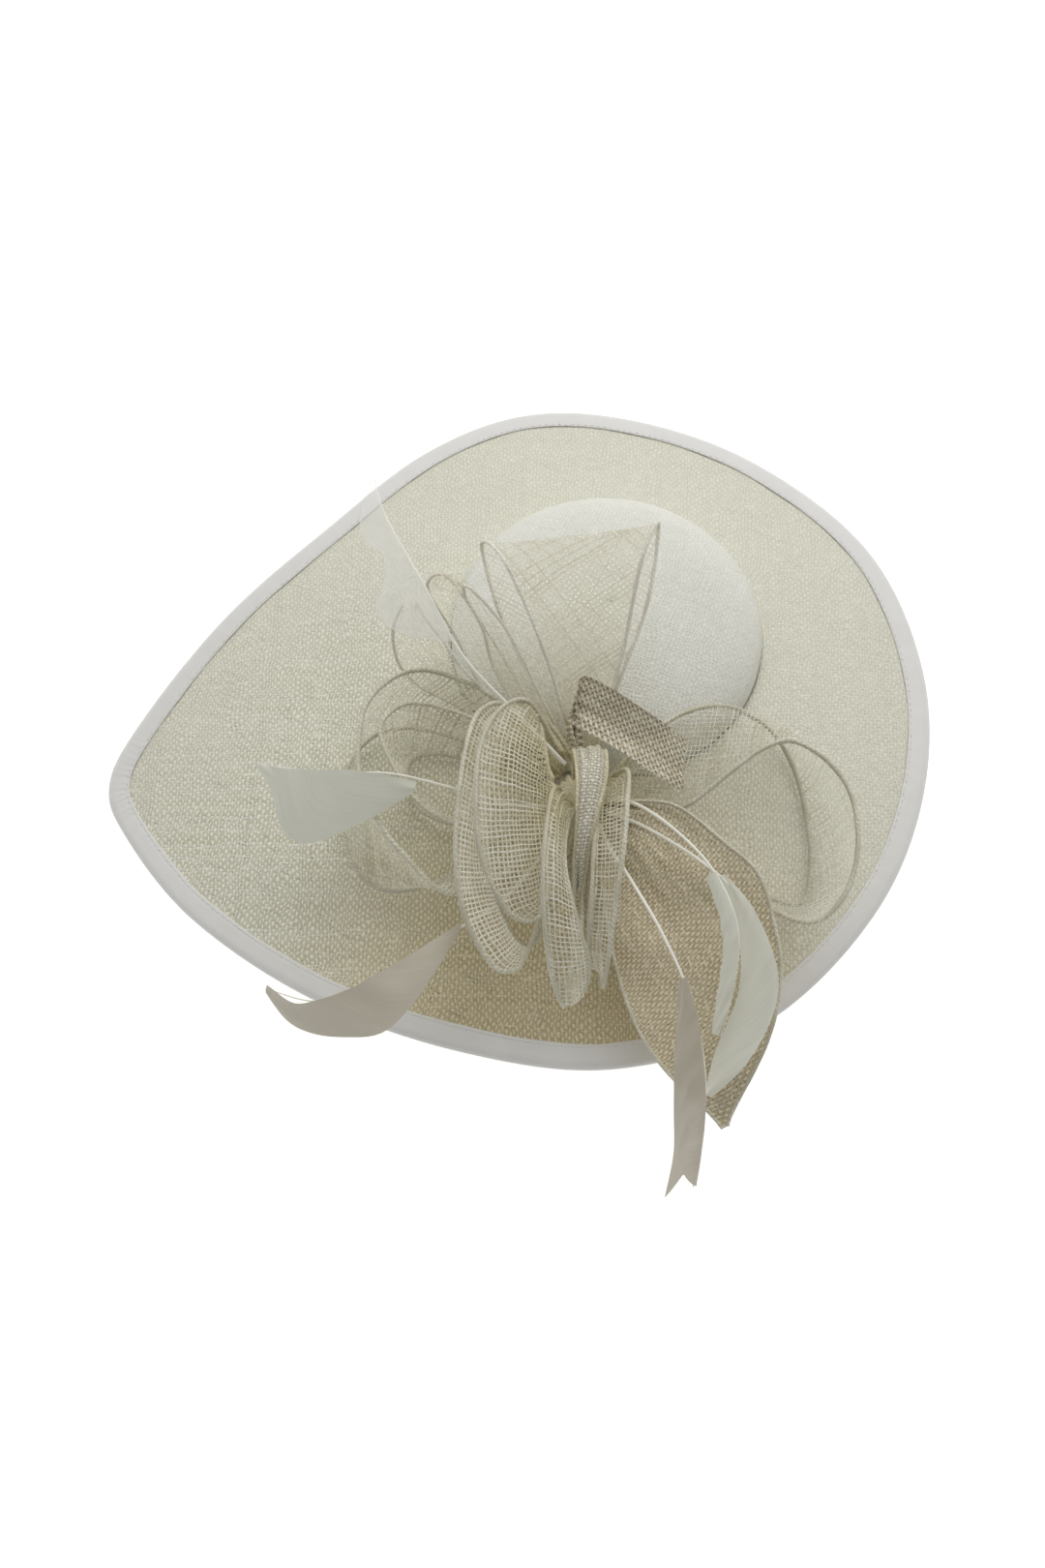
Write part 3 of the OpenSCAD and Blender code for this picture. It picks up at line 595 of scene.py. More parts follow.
mat_binding = satin("binding_satin_cloth", (0.8, 0.79, 0.755), 0.0007, 0.45)
mat_band = satin("band_satin_cloth", (0.84, 0.82, 0.74), 0.0006, 0.3, sheen=0.4)
mat_tip = satin("tip_satin_cloth", (0.8, 0.78, 0.7), 0.0006, 0.36, on_object=True)
mat_ribbon = satin("petersham_cloth", (0.85, 0.83, 0.76), 0.0012, 0.55)
mat_rope = rope("rolled_edge", (0.8, 0.785, 0.68), (0.38, 0.34, 0.21))
# a lighter copy of the rolled edge: painted light on the rims of the fan and petals, which lie in shade
mat_rope_lit = rope("rolled_edge_lit", (0.97, 0.96, 0.9), (0.58, 0.53, 0.38))
mat_thread = threads("sewing_thread", (0.9, 0.89, 0.83))
mat_felt = felt("felt_cloth", (0.8, 0.77, 0.66))
mat_pad = felt("brushed_pad_cloth", (0.86, 0.83, 0.75))
mat_feather = barbs("feather_vane", (0.8, 0.81, 0.72))
# a darker copy of the vane: painted shade for the feathers that face the front
mat_feather_shaded = barbs("feather_vane_shaded", (0.56, 0.52, 0.43))
mat_feather_thin = barbs("feather_vane_thin", (0.98, 0.985, 0.98), (0.1, 0.45), 0.5)
mat_quill = satin("quill_horn", (0.88, 0.86, 0.76), 0.002, 0.3, sheen=0)
mat_clip = metal("clip_nickel", (0.78, 0.77, 0.75), 0.28)
mat_pin = metal("pin_nickel", (0.7, 0.69, 0.68), 0.32, (2500, 40, 2500))
mat_spring = metal("spring_wire", (0.5, 0.5, 0.52), 0.35, (900, 900, 900))
mat_steel = metal("strip_steel", (0.55, 0.55, 0.57), 0.4)
mat_wire = metal("edge_wire_steel", (0.7, 0.7, 0.7), 0.4)


# -------- brim
def brim_top(p):
    d = np.maximum(np.linalg.norm(p[..., :2], axis=-1) - CROWN_R, 0)
    return BRIM_Z - FALL * d - DROOP * d * d


N_EDGE = len(EDGE) * 36
outline = closed(EDGE, N_EDGE)
run_edge = lengths(outline)
tangent = unit(np.roll(outline, -1, 0) - np.roll(outline, 1, 0))
inward = np.stack([-tangent[:, 1], tangent[:, 0]], 1)
PERIMETER = float(run_edge[-1] + np.linalg.norm(outline[0] - outline[-1]))


def edge_row(w, z):
    """The line round the brim that lies w inside its edge and z above its top."""
    p = outline + inward * np.broadcast_to(np.asarray(w, float).reshape(-1, 1), (N_EDGE, 1))
    return np.column_stack([p, brim_top(p) + z])


def ripple(p, amount=0.35):
    """The slow unevenness of a hand-blocked brim."""
    x, y = p[..., 0], p[..., 1]
    return amount * (np.sin(x / 17 + 1.3) * np.sin(y / 23) + 0.6 * np.sin(x / 41 - y / 33)
                     + 0.3 * np.sin(x / 9 + y / 13))


def brim_layer(name, z_top, z_low, mat, node, slot):
    inner = unit(outline) * (CROWN_R + 0.3)
    outer = outline + inward * BIND_W
    up = []
    for f in np.linspace(0, 1, 44):
        p = inner + (outer - inner) * f
        up.append(np.column_stack([p, brim_top(p) + ripple(p) * math.sin(math.pi * f)]))
    up.append(edge_row(2.2, 0))
    rows = [r + [0, 0, z_top] for r in up] + [r + [0, 0, z_low] for r in up[::-1]]
    done(rings(name, rows, [r[:, :2] * MM for r in rows], mat, joined_up=True), slot, node)


brim_layer("brim_blocked_top", 0.0, -LAYER, mat_brim, "brim_top_layer", "sinamay")
brim_layer("brim_blocked_under", -LAYER - PLY_GAP, -LOW_PLY, mat_under, "brim_under_layer", "sinamay_under")


# -------- satin edge binding
def binding():
    """The folded strip. Its profile runs over the outside from the top's seam, and back along the inside."""
    gap, low, w, t = CLEAR, -LOW_PLY, BIND_W, BIND_T
    pucker = 0.10 * np.sin(run_edge * 2 * math.pi / 3.2) + 0.06 * np.sin(run_edge * 2 * math.pi / 7.7)
    prof = [(w - 0.1, 0.12), (w, t * 0.6), (w - 0.5, t), (w - 1.2, t * 0.78), (w - 2.0, t), (6.0, t + 0.12),
            (4.5, t + 0.15), (3.0, t + 0.25), (1.8, t + 0.28), (0.8, t + 0.1), (0.1, 0.45), (-0.45, 0.0),
            (-0.75, -0.6), (-0.75, low + 0.6), (-0.45, low), (0.1, low - 0.45), (0.8, low - t - 0.1),
            (1.8, low - t - 0.25), (4.5, low - t - 0.15), (w - 1.2, low - t), (w, low - t * 0.6),
            (w - 0.1, low - 0.12)]
    outside = len(prof)
    folds = 1, outside - 2  # where the strip's raw edges are turned under
    prof += [(w - 1.0, low - gap), (3.0, low - gap), (1.0, low - 0.1), (0.4, low / 2), (1.0, 0.1), (3.0, gap),
             (w - 1.0, gap)]
    rows, uv = [], []
    for k, ((x, z), across) in enumerate(zip(prof, lengths(np.array(prof)))):
        push = pucker * (0.8 if 1 <= k <= 5 else 0.35) if k < outside else 0.0
        x = x + (0.15 * np.sin(run_edge / 6.1) if k in folds else 0.0)
        rows.append(edge_row(x, z + (push if z >= low / 2 else -push)))
        uv.append(np.column_stack([run_edge * MM, np.full(N_EDGE, across * MM)]))
    return rings("satin_binding", rows, uv, mat_binding, joined_up=True)


done(binding(), "binding_satin", "edge_binding")


def stitch_row(name, w, z, *nodes):
    parts = []
    n = int(PERIMETER / (STITCH_LEN + STITCH_GAP))
    line = edge_row(w, z)
    line = np.vstack([line, line[:1]])
    s = lengths(line)
    for k in range(n):
        a = k * s[-1] / n + rng.uniform(-0.15, 0.15)
        p = sample(line, s, np.linspace(a, a + STITCH_LEN * rng.uniform(0.9, 1.1), 6) % s[-1])
        p[:, 2] += np.sign(z) * STITCH_DIP * (np.sin(np.linspace(0, math.pi, 6)) - 0.9)
        if np.linalg.norm(p[0] - p[-1]) <= 3 * STITCH_LEN:
            parts.append(stitch(p, STITCH_R))
    done(joined(name, parts, mat_thread), "thread", *nodes)


stitch_row("binding_stitches_top", BIND_W - 1.2, BIND_T * 0.78 + 0.12, "binding_stitches")
stitch_row("binding_stitches_under", BIND_W - 1.3, -LOW_PLY - BIND_T - 0.1)


# -------- crown and what is inside it
def dome(a, h, n=40):
    """The profile of a dome of radius a and height h, from its foot to its top."""
    e = 2 / CROWN_ROUND
    return [(a * math.cos(x) ** e, BRIM_Z + h * math.sin(x) ** e) for x in np.linspace(0, math.pi / 2, n)]


def lathe(name, prof, mat, wobble=0.0):
    """A turned shell. The cloth lies on it from the middle outwards, so the weave keeps its scale."""
    prof = np.array([(max(r, AXIS_R), z) for r, z in prof])
    run = lengths(prof)
    ang = circle(256)
    ring = np.column_stack([np.cos(ang), np.sin(ang)])
    rows, uv = [], []
    for (r, z), s in zip(prof, np.abs(run - run[np.argmin(prof[:, 0])])):
        zz = z + wobble * (np.sin(2 * ang + z / 7) + 0.6 * np.sin(5 * ang + 1 + r / 9)) * min(1.0, r / 20)
        rows.append(np.column_stack([r * ring, zz]))
        uv.append(s * ring * MM)
    return rings(name, rows, uv, mat)


def flat_disc(flat, rim, top, low):
    """The profile of a disc: the radii of its flat faces, the points of its rim, and its two heights."""
    return [(AXIS_R, top)] + [(r, top) for r in flat] + rim + [(r, low) for r in flat[::-1]] + [(AXIS_R, low)]


foot = BRIM_Z - LOW_PLY
inside = CROWN_R - LAYER
shell = [(CROWN_R, foot), (CROWN_R, foot + 0.9)] + dome(CROWN_R, CROWN_H)
shell += dome(inside, CROWN_H - LAYER)[::-1] + [(inside, foot), (CROWN_R, foot)]
done(lathe("crown_blocked", shell, mat_crown, wobble=0.12), "sinamay", "crown_outer")

seat = foot - PLY_GAP
drop = FALL * FLANGE + DROOP * FLANGE ** 2
shell = [(inside - CLEAR, seat), (CROWN_R + FLANGE, seat - drop), (CROWN_R + FLANGE, seat - LAYER - drop),
         (inside - LAYER, seat - LAYER)] + dome(inside - LAYER, CROWN_H - 2 * LAYER)
shell += dome(inside - CLEAR, CROWN_H - LAYER - CLEAR)[::-1]
done(lathe("crown_lining_shell", shell, mat_under), "sinamay_under", "crown_lining")

rr = inside - LAYER - 1.4
shell = [(rr - 0.8, 9.7), (rr - 0.7, 9.6), (rr, 9.7), (rr, 15), (rr, 20.5), (rr - 0.4, 20.6)]
shell += [(rr - 0.8, z) for z in (20.5, 15, 9.7)]
done(lathe("headsize_ribbon_band", shell, mat_ribbon), "ribbon", "headsize_ribbon")

rim = [(DISC_R - 0.1, DISC_TOP - 0.25), (DISC_R, DISC_TOP - 0.55), (DISC_R - 0.1, DISC_TOP - 0.85)]
shell = flat_disc(np.linspace(4, DISC_R - 0.5, 18), rim, DISC_TOP, DISC_BOT)
done(lathe("base_disc_felt", shell, mat_felt), "felt", "base_disc")


def disc_stitches(n=120, length=2.4, slant=0.35, radius=0.2):
    """A ring of slanting stitches by the disc's edge, underneath."""
    parts = []
    r = DISC_R - 2.4
    t = np.linspace(-1, 1, 6)
    for k in range(n):
        a = TURN * (k + rng.uniform(-0.1, 0.1)) / n + length / r / 2 * t
        out = r + slant * length * t / 2
        p = np.column_stack([out * np.cos(a), out * np.sin(a), DISC_BOT - 0.25 * (1 - t * t) + 0.1])
        parts.append(stitch(p, radius))
    done(joined("disc_stitches", parts, mat_thread), "thread")


disc_stitches()


# -------- headband
def band_line():
    """Centre line of the band in its own plane, left tip to right tip, with its outward normals."""
    n = 160
    a = np.linspace(-ARCH_OVER, math.pi + ARCH_OVER, n)[::-1]
    nrm = np.column_stack([np.cos(a), np.zeros(n), np.sin(a)])
    arc = nrm * (BAND_R + BAND_T / 2) - [0, 0, BAND_R]
    d = np.linspace(0, LEG_LEN, 24)[1:]
    fading = np.exp(-d / 3)  # the arch's curve runs out into the straight leg
    tilt = LEG_TILT + (ARCH_OVER - LEG_TILT) * fading
    step = np.diff(np.concatenate([[0], d]))
    zero = np.zeros(len(d))
    legs = []
    for side, end in ((-1, arc[0]), (1, arc[-1])):
        x = end[0] - side * np.cumsum(np.sin(tilt) * step) + side * 0.2 * (1 - fading)
        legs.append((np.column_stack([x, zero, end[2] - np.cumsum(np.cos(tilt) * step)]),
                     np.column_stack([side * np.cos(tilt), zero, -np.sin(tilt)])))
    (left, left_n), (right, right_n) = legs
    return np.vstack([left[::-1], arc, right]), np.vstack([left_n[::-1], nrm, right_n])


ALONG_Y = np.array([0, 1, 0])


def band(lead=7.5, sides=40):
    """The strip of satin wound round the band. lead is the distance from one turn to the next."""
    line, nrm = band_line()
    s = lengths(line)
    n = int(s[-1] / 0.5)
    t = np.linspace(0, s[-1], n)
    line, nrm = sample(line, s, t), unit(sample(nrm, s, t))
    ct, st = boxed(circle(sides), 0.42)
    ct, st = ct * WRAP_W / 2, st * BAND_T / 2
    round_run = lengths(np.column_stack([ct, st]))
    girth = round_run[-1] + math.hypot(ct[0] - ct[-1], st[0] - st[-1])
    phase = (t[:, None] - lead * round_run[None, :] / girth) / lead
    saw = phase - np.floor(phase)
    ridge = 0.05 * saw - 0.16 * (np.exp(-(saw / 0.05) ** 2) + np.exp(-((saw - 1.0) / 0.05) ** 2))
    verts, uv = [], []
    for i in range(n):
        up, out = st * (1 + ridge[i] / (BAND_T / 2)), ct * (1 + ridge[i] / (WRAP_W / 2))
        verts.append(line[i] + nrm[i] * up[:, None] + ALONG_Y * out[:, None])
        uv.append(np.column_stack([np.full(sides, t[i]), round_run + t[i] * 0.9]) * MM)
    return mesh_object("band_satin_winding", np.vstack(verts), capped(n, sides), mat_band, np.vstack(uv))


done(band(), "band_satin", "band_wrap")


def band_cap(side, end, prev, up):
    """The cloth cap over one end of the band. Its table gives places along the band, and its size there."""
    d = unit(end - prev)
    a = circle(36)
    ct, st = boxed(a, 0.5)
    rows, uv = [], []
    for x, k in [(-8.0, 0.93), (-7.9, 1.0), (-7.2, 1.0), (-6.9, 0.97), (-6.6, 1.0), (-4, 1.0), (-1.5, 1.0),
                 (-0.4, 0.98), (0.2, 0.92), (0.5, 0.8), (0.6, 0.5), (0.62, 0.05)]:
        w, h = (WRAP_W / 2 + 0.55) * k, (BAND_T / 2 + 0.55) * k
        rows.append(end + d * x + up * (st * h)[:, None] + ALONG_Y * (ct * w)[:, None])
        uv.append(np.column_stack([np.full(len(a), x), a * 3]) * MM)
    done(rings("band_cap_" + side, rows, uv, mat_tip), "tip_cloth", "band_tip_" + side)


line, nrm = band_line()
band_cap("left", line[0], line[6], nrm[0])
band_cap("right", line[-1], line[-7], nrm[-1])


def tacks():
    parts = []
    t = np.linspace(0, 1, 8)
    r = BAND_R + 0.7 + 1.9 * t
    for s in (-1, 1):
        for k in range(-3, 4):
            a = math.radians(k * 6) + 0.012 * (t - 0.5)
            y = s * (WRAP_W / 2 + 0.15 + 0.35 * np.sin(math.pi * t))
            parts.append(tube(np.column_stack([r * np.sin(a), y, -BAND_R + r * np.cos(a)]), 0.26, 6))
    done(joined("band_tack_threads", parts, mat_thread), "thread", "band_tacks")


tacks()


def pad(nx=57, ny=29):
    """The foam pad between the band and the disc: crowned sides and a stitched border."""
    gx, gy = np.meshgrid(np.linspace(-PAD_X, PAD_X, nx), np.linspace(-PAD_Y, PAD_Y, ny), indexing="ij")
    edge = np.clip((1 - np.abs(gx / PAD_X) ** 8) * (1 - np.abs(gy / PAD_Y) ** 6), 0, 1) ** 0.35
    gx2, gy2 = gx * (1 - 0.012 * (1 - edge)), gy * (1 - 0.02 * (1 - edge))
    low = -BAND_R + np.sqrt((BAND_R + BAND_T + CLEAR) ** 2 - gx2 ** 2)
    mid = (low + DISC_BOT) / 2
    seams = [(np.abs(g) - half + 2.5) / 0.6 for g, half in ((gy, PAD_Y), (gx, PAD_X))]
    channel = 0.5 * sum(np.exp(-s ** 2) for s in seams)
    puff = 0.25 * np.sin(gx / 3.1) * np.sin(gy / 2.3)
    zl = mid + (low - mid) * edge + (channel + 0.12 * puff) * edge
    zt = mid + (DISC_BOT - 0.02 - mid) * edge
    verts = np.vstack([np.stack([gx2, gy2, z], -1).reshape(-1, 3) for z in (zt, zl)])
    n = nx * ny
    flat = grid_faces(nx, ny)
    faces = [tuple(f) for f in flat] + [tuple(int(i) + n for i in f[::-1]) for f in flat]
    rim = [i * ny for i in range(nx)] + [(nx - 1) * ny + j for j in range(1, ny)]
    rim += [i * ny + ny - 1 for i in range(nx - 2, -1, -1)] + list(range(ny - 2, 0, -1))
    faces += [(a, b, b + n, a + n) for a, b in zip(rim, rim[1:] + rim[:1])]
    ob = mesh_object("comfort_pad_foam", verts, faces, mat_pad, verts[:, :2] * MM)
    done(ob, "pad_cloth", "comfort_pad")


pad()

# -------- metal parts keep their CAD shapes
SOFT_EDGE = 0.00012
for node, mat in (("clip_base", mat_clip), ("clip_jaw", mat_clip), ("clip_pin", mat_pin),
                  ("clip_spring", mat_spring), ("band_core", mat_steel), ("edge_wire", mat_wire)):
    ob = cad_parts[node]
    ob.data.materials.clear()
    ob.data.materials.append(mat)
    if node in ("clip_base", "clip_jaw", "clip_pin"):
        bev = ob.modifiers.new("soft_edge", "BEVEL")
        bev.width = SOFT_EDGE
        bev.segments = 2
        bev.limit_method = "ANGLE"


# -------- looped net trim
DRAWN = 20.0  # how far from the knot a strip is drawn in, mm
BELLY = 3.0  # how far a strip bulges between its rims, mm


def sheet_grid(a, b, nu, nv, gather, pleats, seed, waves, pinch):
    """A gathered strip between two rims: its points, running length, width, and the width it was cut to."""
    u = np.linspace(0, 1, nu)
    v = np.linspace(0, 1, nv)
    pa, pb = along(a, u), along(b, u)
    mid = pa[:, None, :] * (1 - v)[None, :, None] + pb[:, None, :] * v[None, :, None]
    nrm = normals(mid)
    run = lengths((pa + pb) / 2)
    width = np.linalg.norm(pa - pb, axis=1)
    cut = width.copy()
    ends = [(run, gather[0]), (run[-1] - run, gather[1])]
    for from_end, drawn in ends:  # the cloth stays nearly as wide as it is where the gathers begin
        if drawn:
            near_end = from_end < DRAWN
            cut[near_end] = np.maximum(cut[near_end], width[np.argmin(np.abs(from_end - DRAWN))] * 0.9)
    bell = BELLY * np.sin(math.pi * u)[:, None] * 4 * (v * (1 - v))[None, :]
    deep = np.sqrt(np.maximum(cut ** 2 - width ** 2, 0)) / (4 * pleats)
    far = sum(np.exp(-d / 40) * g for d, g in ends)
    r = np.random.default_rng(seed)
    folds = np.sin(TURN * pleats * v + r.uniform(0, 6.28))[None, :]
    fine = np.sin(TURN * pleats * 2.3 * v + r.uniform(0, 6.28))[None, :]
    fold = (folds + 0.25 * fine) * deep[:, None]
    fold = fold + 0.55 * (folds + fine) * far[:, None] * np.minimum(1, width / 14)[:, None]
    ease = waves * wavy((nu, nv), seed + 1) * np.minimum(1, width / 25)[:, None]
    g = mid + nrm * (bell + fold + ease)[..., None]
    if pinch is not None:  # creases running out from the place where an edge is caught down
        d = g - pinch
        dist = np.linalg.norm(d, axis=2)
        turn = np.arctan2((d * [0.6, 0.8, 0]).sum(2), (d * [0.2, -0.2, 1]).sum(2))
        g = g + nrm * (1.1 * np.exp(-dist / 13) * (1 - np.exp(-dist / 3)) * np.cos(14 * turn))[..., None]
    return g, run, width, cut


def net_loop(name, a, b, gather=(1, 1), pleats=3.5, seed=1, waves=0.7, rope_r=1.0, mat=mat_grid,
             rolled=True, pinch=None, twist=(0.10, 9.0)):
    """One strip of net between two rims, drawn up at its ends, with its rolled edges."""
    length = lengths(along(a, np.linspace(0, 1, 200)))[-1]
    nu, nv = max(int(length / 1.5), 40), 36
    g, run, width, cut = sheet_grid(a, b, nu, nv, gather, pleats, seed, waves, pinch)
    ob = cloth(name + "_net", g, run, cut[:, None] * (np.linspace(0, 1, nv) - 0.5), mat)
    pieces = []
    if rolled:
        parts = []
        for row, lay in ((g[:, 0], -1), (g[:, -1], 1)):
            line = even(row, 0.45)
            n = np.arange(len(line))
            r = rope_r * (1 + 0.08 * np.sin(n / 9 + seed) + 0.05 * np.sin(n / 4.1))
            parts.append(tube(line, r, 12, lobes=3, pitch=lay * twist[1], depth=twist[0], phase=seed))
        # the fan and petals take the lighter copy of the rolled edge, with its painted light
        rope_mat = mat_rope_lit if mat in (mat_fan, mat_petal) else mat_rope
        pieces = [done(joined(name + "_rolled_edges", parts, rope_mat), "loop_sinamay")]
    done(ob, "loop_sinamay", name)


net_loop("fan_loop",
    [[-9, -70, 28], [2, -44, 52], [13, -18, 70], [17, 8, 86], [10, -8, 84], [3, -36, 60], [-8, -68, 36]],
    [[-16, -70, 28], [-33, -40, 48], [-46, -16, 64], [-52, 6, 76], [-42, -10, 84], [-26, -40, 62],
     [-15, -68, 36]],
    mat=mat_fan, rope_r=0.8, seed=2, pleats=3.0, waves=0.35)
net_loop("crest_petal",
    [[-16, -68, 24], [-34, -44, 40], [-47, -27, 54], [-58, -14, 66], [-57, -15, 76], [-42, -30, 68],
     [-30, -48, 52], [-17, -67, 32]],
    [[-22, -70, 20], [-51, -39, 34], [-63, -20, 48], [-74, -6, 62], [-66, -6, 70], [-53, -22, 62],
     [-46, -38, 48], [-22, -68, 28]],
    mat=mat_petal, rope_r=0.7, seed=3, pleats=2.0, waves=0.3)
net_loop("side_petal",
    [[-25, -71, 20], [-55, -46, 26], [-78, -35, 33], [-86, -30, 42], [-88, -21, 54], [-84, -13, 60]],
    [[-24, -69.5, 28], [-43, -48.5, 37], [-58, -38, 48.5], [-67, -28, 56], [-74, -20, 60], [-78, -13, 62]],
    gather=(1, 0), mat=mat_petal, rope_r=0.7, seed=4, pleats=2.0, waves=0.3)
net_loop("left_loop",
    [[-24, -71.5, 32], [-45, -48, 42], [-71, -35, 45], [-87, -38, 48], [-98, -52, 50], [-100, -72, 50],
     [-97, -89, 50], [-91, -101, 48], [-81, -114, 44], [-65, -127, 38], [-45, -118, 32], [-23, -86, 27]],
    [[-23, -74, 20], [-50, -58, 18], [-77, -46, 15], [-97, -46, 12], [-108, -58, 9], [-111, -76, 8],
     [-109, -92, 8], [-104, -105, 7], [-94, -114, 7], [-79, -115, 9], [-56, -106, 13], [-24, -84, 18]],
    mat=mat_bias, seed=5, waves=1.0)
net_loop("inner_loop",
    [[-23, -76, 32], [-50, -55, 37], [-79, -46, 39], [-92, -57, 44], [-91, -69, 45], [-85, -80, 45],
     [-78, -89, 43], [-65, -98, 38], [-44, -99, 32], [-24, -83, 28]],
    [[-24, -77, 18], [-42, -68, 16], [-68, -57, 14], [-81, -58, 12], [-84, -66, 11], [-82, -73, 11],
     [-78, -80, 11], [-66, -87, 12], [-46, -89, 14], [-24, -82, 18]],
    mat=mat_bias, rope_r=0.85, seed=6)
net_loop("rose_outer",
    [[-22, -73, 37], [-40, -54, 49], [-52, -59, 57], [-58, -82, 63], [-61, -117, 60], [-58, -139, 52],
     [-50, -152, 42], [-42, -157, 34], [-33, -145, 26], [-20, -92, 20]],
    [[-20, -73, 30], [-34, -62, 37], [-43, -70, 42], [-48, -90, 44], [-50, -113, 42], [-47, -129, 36],
     [-41, -139, 29], [-34, -143, 24], [-27, -132, 19], [-17, -92, 16]],
    seed=7, pleats=2.5)
net_loop("rose_cup",
    [[-20, -69, 42], [-33, -54, 54], [-45, -62, 63], [-53, -84, 67], [-53, -112, 63], [-48, -129, 55],
     [-39, -139, 44], [-28, -133, 35], [-20, -95, 28]],
    [[-16, -71, 38], [-28, -57, 47], [-27, -70, 48], [-24, -86, 46], [-22, -100, 42], [-22, -114, 37],
     [-23, -122, 32], [-22, -118, 28], [-17.5, -94, 22]],
    pinch=(-21, -88, 44), seed=8, pleats=2.5)
net_loop("front_loop",
    [[-16, -87, 31], [-24, -88, 47], [-28, -118, 58], [-28, -142, 52], [-25, -160, 38], [-20, -168, 26],
     [-17, -148, 20], [-15, -92, 17]],
    [[-12, -88, 30], [-18, -100, 44], [-20, -121, 48], [-15, -143, 44], [-11, -155, 35], [-13, -162, 26],
     [-13, -146, 19], [-12, -92, 16]],
    seed=9, pleats=1.5, waves=0.4)
net_loop("side_loop",
    [[-5, -80, 32], [4, -82, 52], [3, -100, 60], [1, -119, 60], [-2, -139, 52], [-4, -154, 38],
     [-6, -160, 27], [-6, -132, 20], [-6, -90, 17]],
    [[-8, -80, 30], [-4, -86, 44], [-7, -99, 48], [-9, -115, 47], [-10, -134, 42], [-11, -148, 33],
     [-11, -153, 25], [-10, -130, 18], [-9, -92, 15]],
    seed=10, pleats=1.5, waves=0.4)
net_loop("rose_heart",
    [[-16, -79, 36], [-16, -71, 46], [-15, -84, 51], [-15, -101, 49], [-16, -113, 43], [-16, -124, 31]],
    [[-9, -79, 36], [-4, -71, 47], [-4, -85, 53], [-8, -101, 52], [-11, -113, 45], [-13, -124, 31]],
    mat=mat_heart, rope_r=0.8, seed=11, pleats=1.5, waves=0.3)
net_loop("heart_tab",
    [[-15, -67, 41], [-14, -46, 58], [-3, -50, 60], [7, -56, 58], [18, -62, 54], [28, -67, 48]],
    [[-14, -75, 38], [-19, -60, 47], [-9, -65, 48], [3, -72, 47], [14, -79, 44], [27, -85, 38]],
    gather=(1, 0), mat=mat_tab, rolled=False, seed=12, pleats=1.5, waves=0.4)
net_loop("right_loop",
    [[-5, -84, 26], [8, -90, 29], [28, -89, 34], [47, -77, 42], [59, -69, 45], [70, -66, 46], [82, -74, 46],
     [90, -88, 46], [92, -107, 46], [89, -124, 44], [82, -135, 42], [73, -139, 38], [60, -132, 32],
     [43, -118, 28], [18, -100, 24], [-4, -88, 21]],
    [[-5, -78, 22], [7, -66, 29], [23, -53, 36], [39, -46, 36], [52, -43, 29], [65, -46, 19], [73, -56, 14],
     [78, -69, 11], [81, -85, 9], [81, -105, 7], [76, -119, 6], [62, -117, 8], [48, -110, 10],
     [34, -101, 12], [14, -92, 14], [-5, -85, 16]],
    mat=mat_right, twist=(0.2, 6.5), rope_r=1.1, seed=13, waves=0.8)
net_loop("leaf",
    [[-5, -86, 30], [8, -88, 36], [24, -93, 42], [41, -111, 48], [53, -124, 48], [58, -143, 44],
     [60, -160, 38], [55, -182, 30], [42, -206, 18], [40, -211, 16]],
    [[-9, -89, 24], [-8, -104, 24], [-5, -120, 26], [-3, -138, 26], [0, -154, 25], [4, -167, 23],
     [9, -179, 22], [19, -193, 20], [33, -206, 17], [38, -212, 16]],
    gather=(1, 0), mat=mat_leaf, rope_r=0.7, seed=14, waves=0.9)


# -------- knot, its thread and the felt under it
def turned(y, z, angle):
    c, q = math.cos(angle), math.sin(angle)
    return y * c - z * q, y * q + z * c


def on_knot(pts, z):
    """Points from the trim's own place, lifted by z, to where it lies tilted on the brim."""
    x, y, z = (pts + [0, 0, z]).T
    y, z = turned(y, z, TRIM_TILT)
    x, y = turned(x, y, TRIM_TURN)
    return np.column_stack([x + KNOT[0], y + KNOT[1] + 1, z + TRIM_Z])


def knot(n=144):
    prof = [(0.1, 0), (8, 0.1), (7.9, 1.5), (7.4, 3), (6.2, 4.6), (5, 6), (4.6, 7), (4.6, 8), (5, 9.6),
            (6, 12), (6.8, 13.6), (7, 15), (6.4, 16.8), (5, 18), (2.6, 18.8), (0.1, 19)]
    a = circle(n)
    rows, uv = [], []
    for r, z in prof:
        k = 1 + 0.10 * np.sin(11 * a + 0.1 * z) * min(1, r / 5) + 0.05 * np.sin(23 * a + 1)
        k = np.minimum(k, 1.02) if r > 7.5 else k  # the foot is nearly round
        rows.append(on_knot(np.column_stack([r * k * np.cos(a), r * k * np.sin(a), np.full(n, z)]), TRIM_T))
        uv.append(np.column_stack([a * 5, np.full(n, z)]) * MM)
    done(rings("centre_knot_bundle", rows, uv, mat_knot), "knot_cloth", "centre_knot")


def knot_thread(turns=9, per=40, r=5.35):
    t = np.linspace(0, turns, turns * per)
    helix = np.column_stack([r * np.cos(TURN * t), r * np.sin(TURN * t), 5.8 + 3.6 * t / turns])
    part = tube(on_knot(helix, TRIM_T), 0.32, 8)
    done(joined("knot_thread_winding", [part], mat_thread), "thread", "knot_thread")


def trim_base(n=128):
    a = circle(n)
    prof = flat_disc(np.linspace(2, 11.6, 10), [(11.95, 0.9), (12, 0.5), (11.9, 0.1)], TRIM_T, 0.0)
    rows = [np.column_stack([r * np.cos(a), r * np.sin(a), np.full(n, z)]) for r, z in prof]
    uv = [r[:, :2] * MM for r in rows]
    done(rings("trim_base_felt", [on_knot(r, 0) for r in rows], uv, mat_felt), "felt", "trim_base")


knot()
knot_thread()
trim_base()


